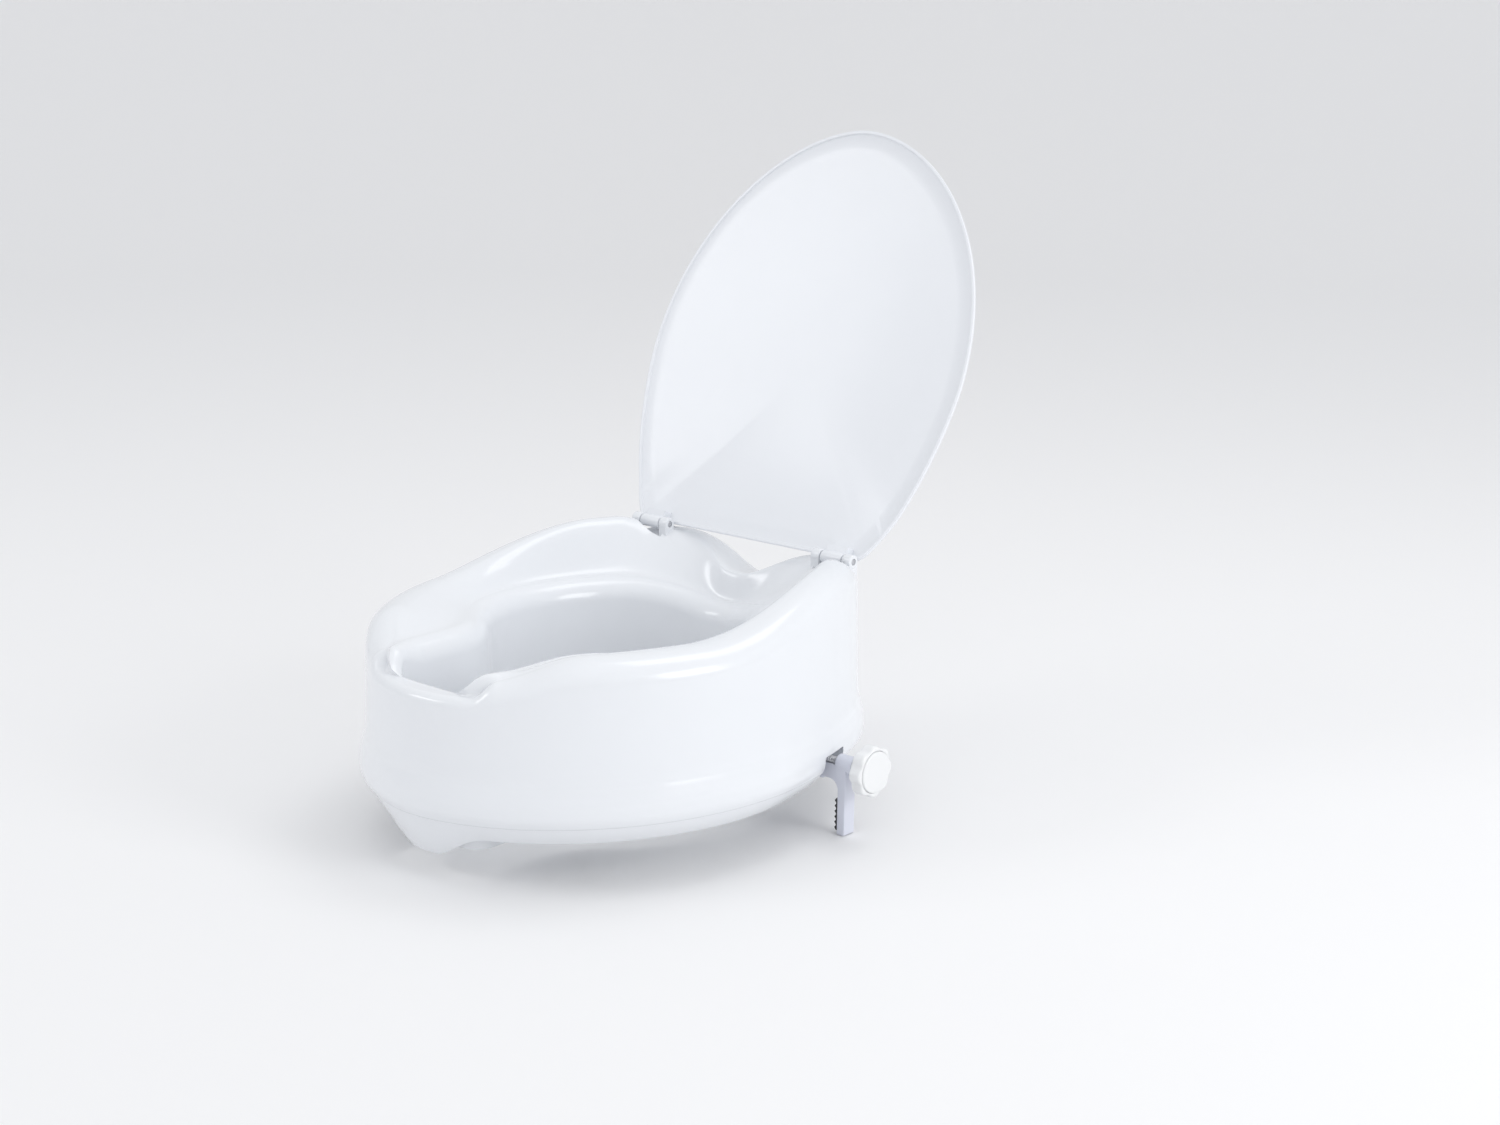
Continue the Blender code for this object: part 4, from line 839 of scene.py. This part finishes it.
def make_grip(name, side):
    """The toothed strip: rows of teeth with rounded tips."""
    half = ARM_WIDTH / 2 - GRIP_MARGIN
    face = LEG_OUTER_X - LEG_THICK - GAP
    pitch = GRIP_HEIGHT / GRIP_TEETH
    low = LEG_BOTTOM_Z + GRIP_RISE
    tooth = ((0.05, 0.5), (0.28, 0.74), (0.42, 0.96), (0.5, 1.0), (0.58, 0.96), (0.72, 0.74), (0.95, 0.5))
    outline = [(face, low)]
    for i in range(GRIP_TEETH):
        for step, depth in tooth:
            outline.append((face - GRIP_THICK * depth, low + pitch * (i + step)))
    outline.append((face, low + GRIP_HEIGHT))
    strip = mesh_of("toothed_strip", rimmed(outline, side, half, STRIP_EDGE))
    item = link(f"toothed_strip_{name}", strip, GRIP, SHELL_SHARP_ANGLE)
    place(item, f"clamp_{name}", "grip_rubber", f"grip_strip_{name}")


def make_stud(name, side):
    """The stud with its rolled thread, plain where it runs through the lug and the knob."""
    end = KNOB_OUTER_X - CAP_DEPTH - 2 * GAP
    thread_end = LUG_INNER_X - RING_THICK - 4 * GAP
    steps = round((thread_end - STUD_INNER_X) / THREAD_PITCH * THREAD_STEPS)
    builder = bmesh.new()
    rings = [circle(builder, side * STUD_INNER_X, 0, THREAD_SEGMENTS)]
    for i in range(steps + 1):
        x = mix(STUD_INNER_X, thread_end, i / steps)
        start = smoothstep(0, THREAD_FADE, x - STUD_INNER_X)
        fade = start * smoothstep(0, THREAD_FADE, thread_end - x)
        ring = []
        for k in range(THREAD_SEGMENTS):
            turn = (x / THREAD_PITCH - k / THREAD_SEGMENTS) % 1.0
            depth = THREAD_DEPTH * smoothstep(0.15, 0.85, 1 - abs(2 * turn - 1)) * fade
            taper = STUD_TIP * (1 - start)
            radius = STUD_RADIUS - depth - taper
            angle = 2 * math.pi * k / THREAD_SEGMENTS
            ring.append(builder.verts.new((side * x, radius * math.cos(angle), radius * math.sin(angle))))
        rings.append(ring)
    for x, radius in ((thread_end + 0.0001, STUD_RADIUS), (end, STUD_RADIUS), (end, 0)):
        rings.append(circle(builder, side * x, radius, THREAD_SEGMENTS))
    join_rings(builder, rings)
    bmesh.ops.translate(builder, vec=stud_middle(), verts=builder.verts)
    item = link(f"threaded_stud_{name}", mesh_of("threaded_stud", builder), STEEL, KNOB_SHARP_ANGLE)
    place(item, f"knob_{name}", "steel", f"clamp_stud_{name}")


def lobed(x, radius, share=0):
    """A ring of the knob, lobed by the share from 0, round, to 1."""
    count = KNOB_LOBES * LOBE_SEGMENTS
    points = []
    for i in range(count):
        angle = 2 * math.pi * i / count
        wave = (0.5 - 0.5 * math.cos(KNOB_LOBES * angle)) ** 1.4
        reach = radius - LOBE_DEPTH * share * wave
        points.append((x, reach * math.cos(angle), reach * math.sin(angle)))
    return points


def make_knob(name, side):
    """The knob round its hub, with rolled corners on the lobes and a recess for the cap."""
    back = KNOB_INNER_X + HUB_LENGTH
    front = KNOB_OUTER_X
    bore = STUD_RADIUS + GAP
    recess = CAP_RADIUS + GAP
    floor = front - CAP_DEPTH - GAP
    rings = [lobed(KNOB_INNER_X, bore), lobed(KNOB_INNER_X, HUB_RADIUS - HUB_EDGE),
             lobed(KNOB_INNER_X + HUB_EDGE, HUB_RADIUS), lobed(back - 0.0010, HUB_RADIUS),
             lobed(back - 0.0003, HUB_RADIUS + 0.0003), lobed(back, HUB_RADIUS + HUB_FILLET)]
    quarter = range(KNOB_EDGE_STEPS + 1)
    for plane, way, order in ((back, 1, quarter), (front, -1, reversed(quarter))):
        for i in order:
            a = math.pi / 2 * i / KNOB_EDGE_STEPS
            rings.append(lobed(plane + way * KNOB_EDGE * (1 - math.cos(a)),
                               KNOB_RADIUS - KNOB_EDGE * (1 - math.sin(a)), 0.6 + 0.4 * math.sin(a)))
    rings += [lobed(front, recess + RECESS_EDGE), lobed(front - RECESS_EDGE, recess),
              lobed(floor, recess), lobed(floor, bore)]
    builder = bmesh.new()
    verts = [[builder.verts.new((side * x, y, z)) for x, y, z in ring] for ring in rings]
    join_rings(builder, verts, closed=True)
    bmesh.ops.translate(builder, vec=stud_middle(), verts=builder.verts)
    item = link(f"lobed_knob_{name}", mesh_of("lobed_knob", builder), KNOB, KNOB_SHARP_ANGLE)
    place(item, f"knob_{name}", "knob_plastic", f"clamp_knob_{name}")


def make_cap(name, side):
    back = KNOB_OUTER_X - CAP_DEPTH
    front = KNOB_OUTER_X + CAP_RISE
    profile = [(back, 0), (back, CAP_RADIUS)]
    for i in range(CAP_EDGE_STEPS + 1):
        a = math.pi / 2 * i / CAP_EDGE_STEPS
        profile.append((front - CAP_EDGE + CAP_EDGE * math.sin(a), CAP_RADIUS - CAP_EDGE * (1 - math.cos(a))))
    profile += [(front, CAP_RADIUS * 0.6), (front, 0)]
    disc = mesh_of("cap_disc", turned(profile, CAP_SEGMENTS, side, stud_middle()))
    item = link(f"cap_disc_{name}", disc, KNOB, KNOB_SHARP_ANGLE)
    place(item, f"knob_{name}", "knob_plastic", f"knob_cap_{name}")


def make_small_parts(name, side):
    """The retaining ring, the washer and the hinge pin of one side."""
    inner = STUD_RADIUS + GAP
    start = LUG_INNER_X - GAP - RING_THICK
    profile = rounded(start, start + RING_THICK, inner, RING_RADIUS, RING_EDGE, 3)
    ring = turned(profile, LUG_SEGMENTS, side, stud_middle())
    place(link(f"snap_ring_{name}", mesh_of("snap_ring", ring), STEEL), f"knob_{name}", "steel",
          f"retaining_ring_{name}")
    start = LUG_OUTER_X + GAP
    profile = rounded(start, start + WASHER_THICK, inner, WASHER_RADIUS, WASHER_EDGE, 3)
    disc = turned(profile, WASHER_SEGMENTS, side, stud_middle())
    place(link(f"flat_washer_{name}", mesh_of("flat_washer", disc), STEEL), f"clamp_{name}", "steel",
          f"clamp_washer_{name}")
    reach = KNUCKLE_WIDTH / 2 + EAR_WIDTH + HINGE_GAP
    middle = (side * HINGE_X, HINGE_Y, HINGE_Z)
    pin = turned(rounded(-reach, reach, 0.0, PIN_RADIUS, PIN_EDGE, 4), BARREL_SEGMENTS, 1, middle)
    place(link(f"plain_pin_{name}", mesh_of("plain_pin", pin), STEEL), "seat", "steel", f"hinge_pin_{name}")


make_seat()
make_lid()
for side_name, side in SIDES.items():
    make_bracket(side_name, side)
    make_grip(side_name, side)
    make_stud(side_name, side)
    make_knob(side_name, side)
    make_cap(side_name, side)
    make_small_parts(side_name, side)

# The pieces that keep the model's own meshes get their materials here
CARRIED = {"rim_pad": PAD, "captive_nut": STEEL, "clamp_housing": BRACKET, "housing_screw": STEEL}
for name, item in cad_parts.items():
    for start, skin in CARRIED.items():
        if name.startswith(start):
            item.data.materials.clear()
            item.data.materials.append(skin)


# Floor, light and camera


def make_floor():
    """A round floor that curves up far behind, so that no horizon shows."""
    skin = bpy.data.materials.new("pale_floor")
    skin.use_nodes = True
    shader = skin.node_tree.nodes["Principled BSDF"]
    shader.inputs["Base Color"].default_value = FLOOR_COLOUR
    shader.inputs["Roughness"].default_value = FLOOR_ROUGHNESS
    profile = [(FLOOR_RADIUS, 0.0)]
    for i in range(1, FLOOR_CURVE_STEPS + 1):
        a = math.pi / 2 * i / FLOOR_CURVE_STEPS
        profile.append((FLOOR_RADIUS + FLOOR_CURVE * math.sin(a), FLOOR_CURVE - FLOOR_CURVE * math.cos(a)))
    angles = [2 * math.pi * k / FLOOR_SEGMENTS for k in range(FLOOR_SEGMENTS)]
    builder = bmesh.new()
    rings = [[builder.verts.new((0, 0, 0))]]
    for radius, height in profile:
        rings.append([
            builder.verts.new((radius * math.cos(a), radius * math.sin(a), height)) for a in angles
        ])
    join_rings(builder, rings)
    bmesh.ops.translate(builder, vec=(0, 0, CAD_BOX[0][2] - FLOOR_DROP), verts=builder.verts)
    floor = link("floor", mesh_of("floor", builder), skin)


def make_light(name, location, aim, size, power):
    data = bpy.data.lights.new(name, "AREA")
    data.shape = "RECTANGLE"
    data.size, data.size_y = size
    data.energy = power
    item = bpy.data.objects.new(name, data)
    bpy.context.scene.collection.objects.link(item)
    item.location = location
    item.rotation_euler = (Vector(aim) - Vector(location)).to_track_quat("-Z", "Y").to_euler()


def make_world():
    world = bpy.data.worlds.new("studio")
    world.use_nodes = True
    background = world.node_tree.nodes["Background"]
    background.inputs["Color"].default_value = WORLD_COLOUR
    background.inputs["Strength"].default_value = WORLD_STRENGTH
    bpy.context.scene.world = world


def make_camera():
    azimuth, elevation = math.radians(CAMERA_AZIMUTH), math.radians(CAMERA_ELEVATION)
    back = Vector((math.sin(azimuth) * math.cos(elevation), -math.cos(azimuth) * math.cos(elevation),
                   math.sin(elevation)))
    data = bpy.data.cameras.new("camera")
    data.lens = CAMERA_LENS
    data.sensor_width = CAMERA_SENSOR
    data.shift_x = CAMERA_SHIFT_X
    data.shift_y = CAMERA_SHIFT_Y
    camera = bpy.data.objects.new("camera", data)
    bpy.context.scene.collection.objects.link(camera)
    camera.location = Vector(CAMERA_TARGET) + back * CAMERA_DISTANCE
    camera.rotation_euler = (-back).to_track_quat("-Z", "Y").to_euler()
    bpy.context.scene.camera = camera


make_floor()
make_world()
make_light("key", (-1.5, -1.9, 1.7), (0, 0, 0.15), (1.2, 0.5), 8)
make_light("side", (2.2, 0.3, 1.0), (0.1, 0.05, 0.1), (1.0, 1.0), 13)
make_light("top", (0.3, 0.9, 2.2), (0, 0.05, 0.1), (0.9, 0.9), 5)
make_camera()
bpy.context.scene.view_settings.view_transform = "Standard"
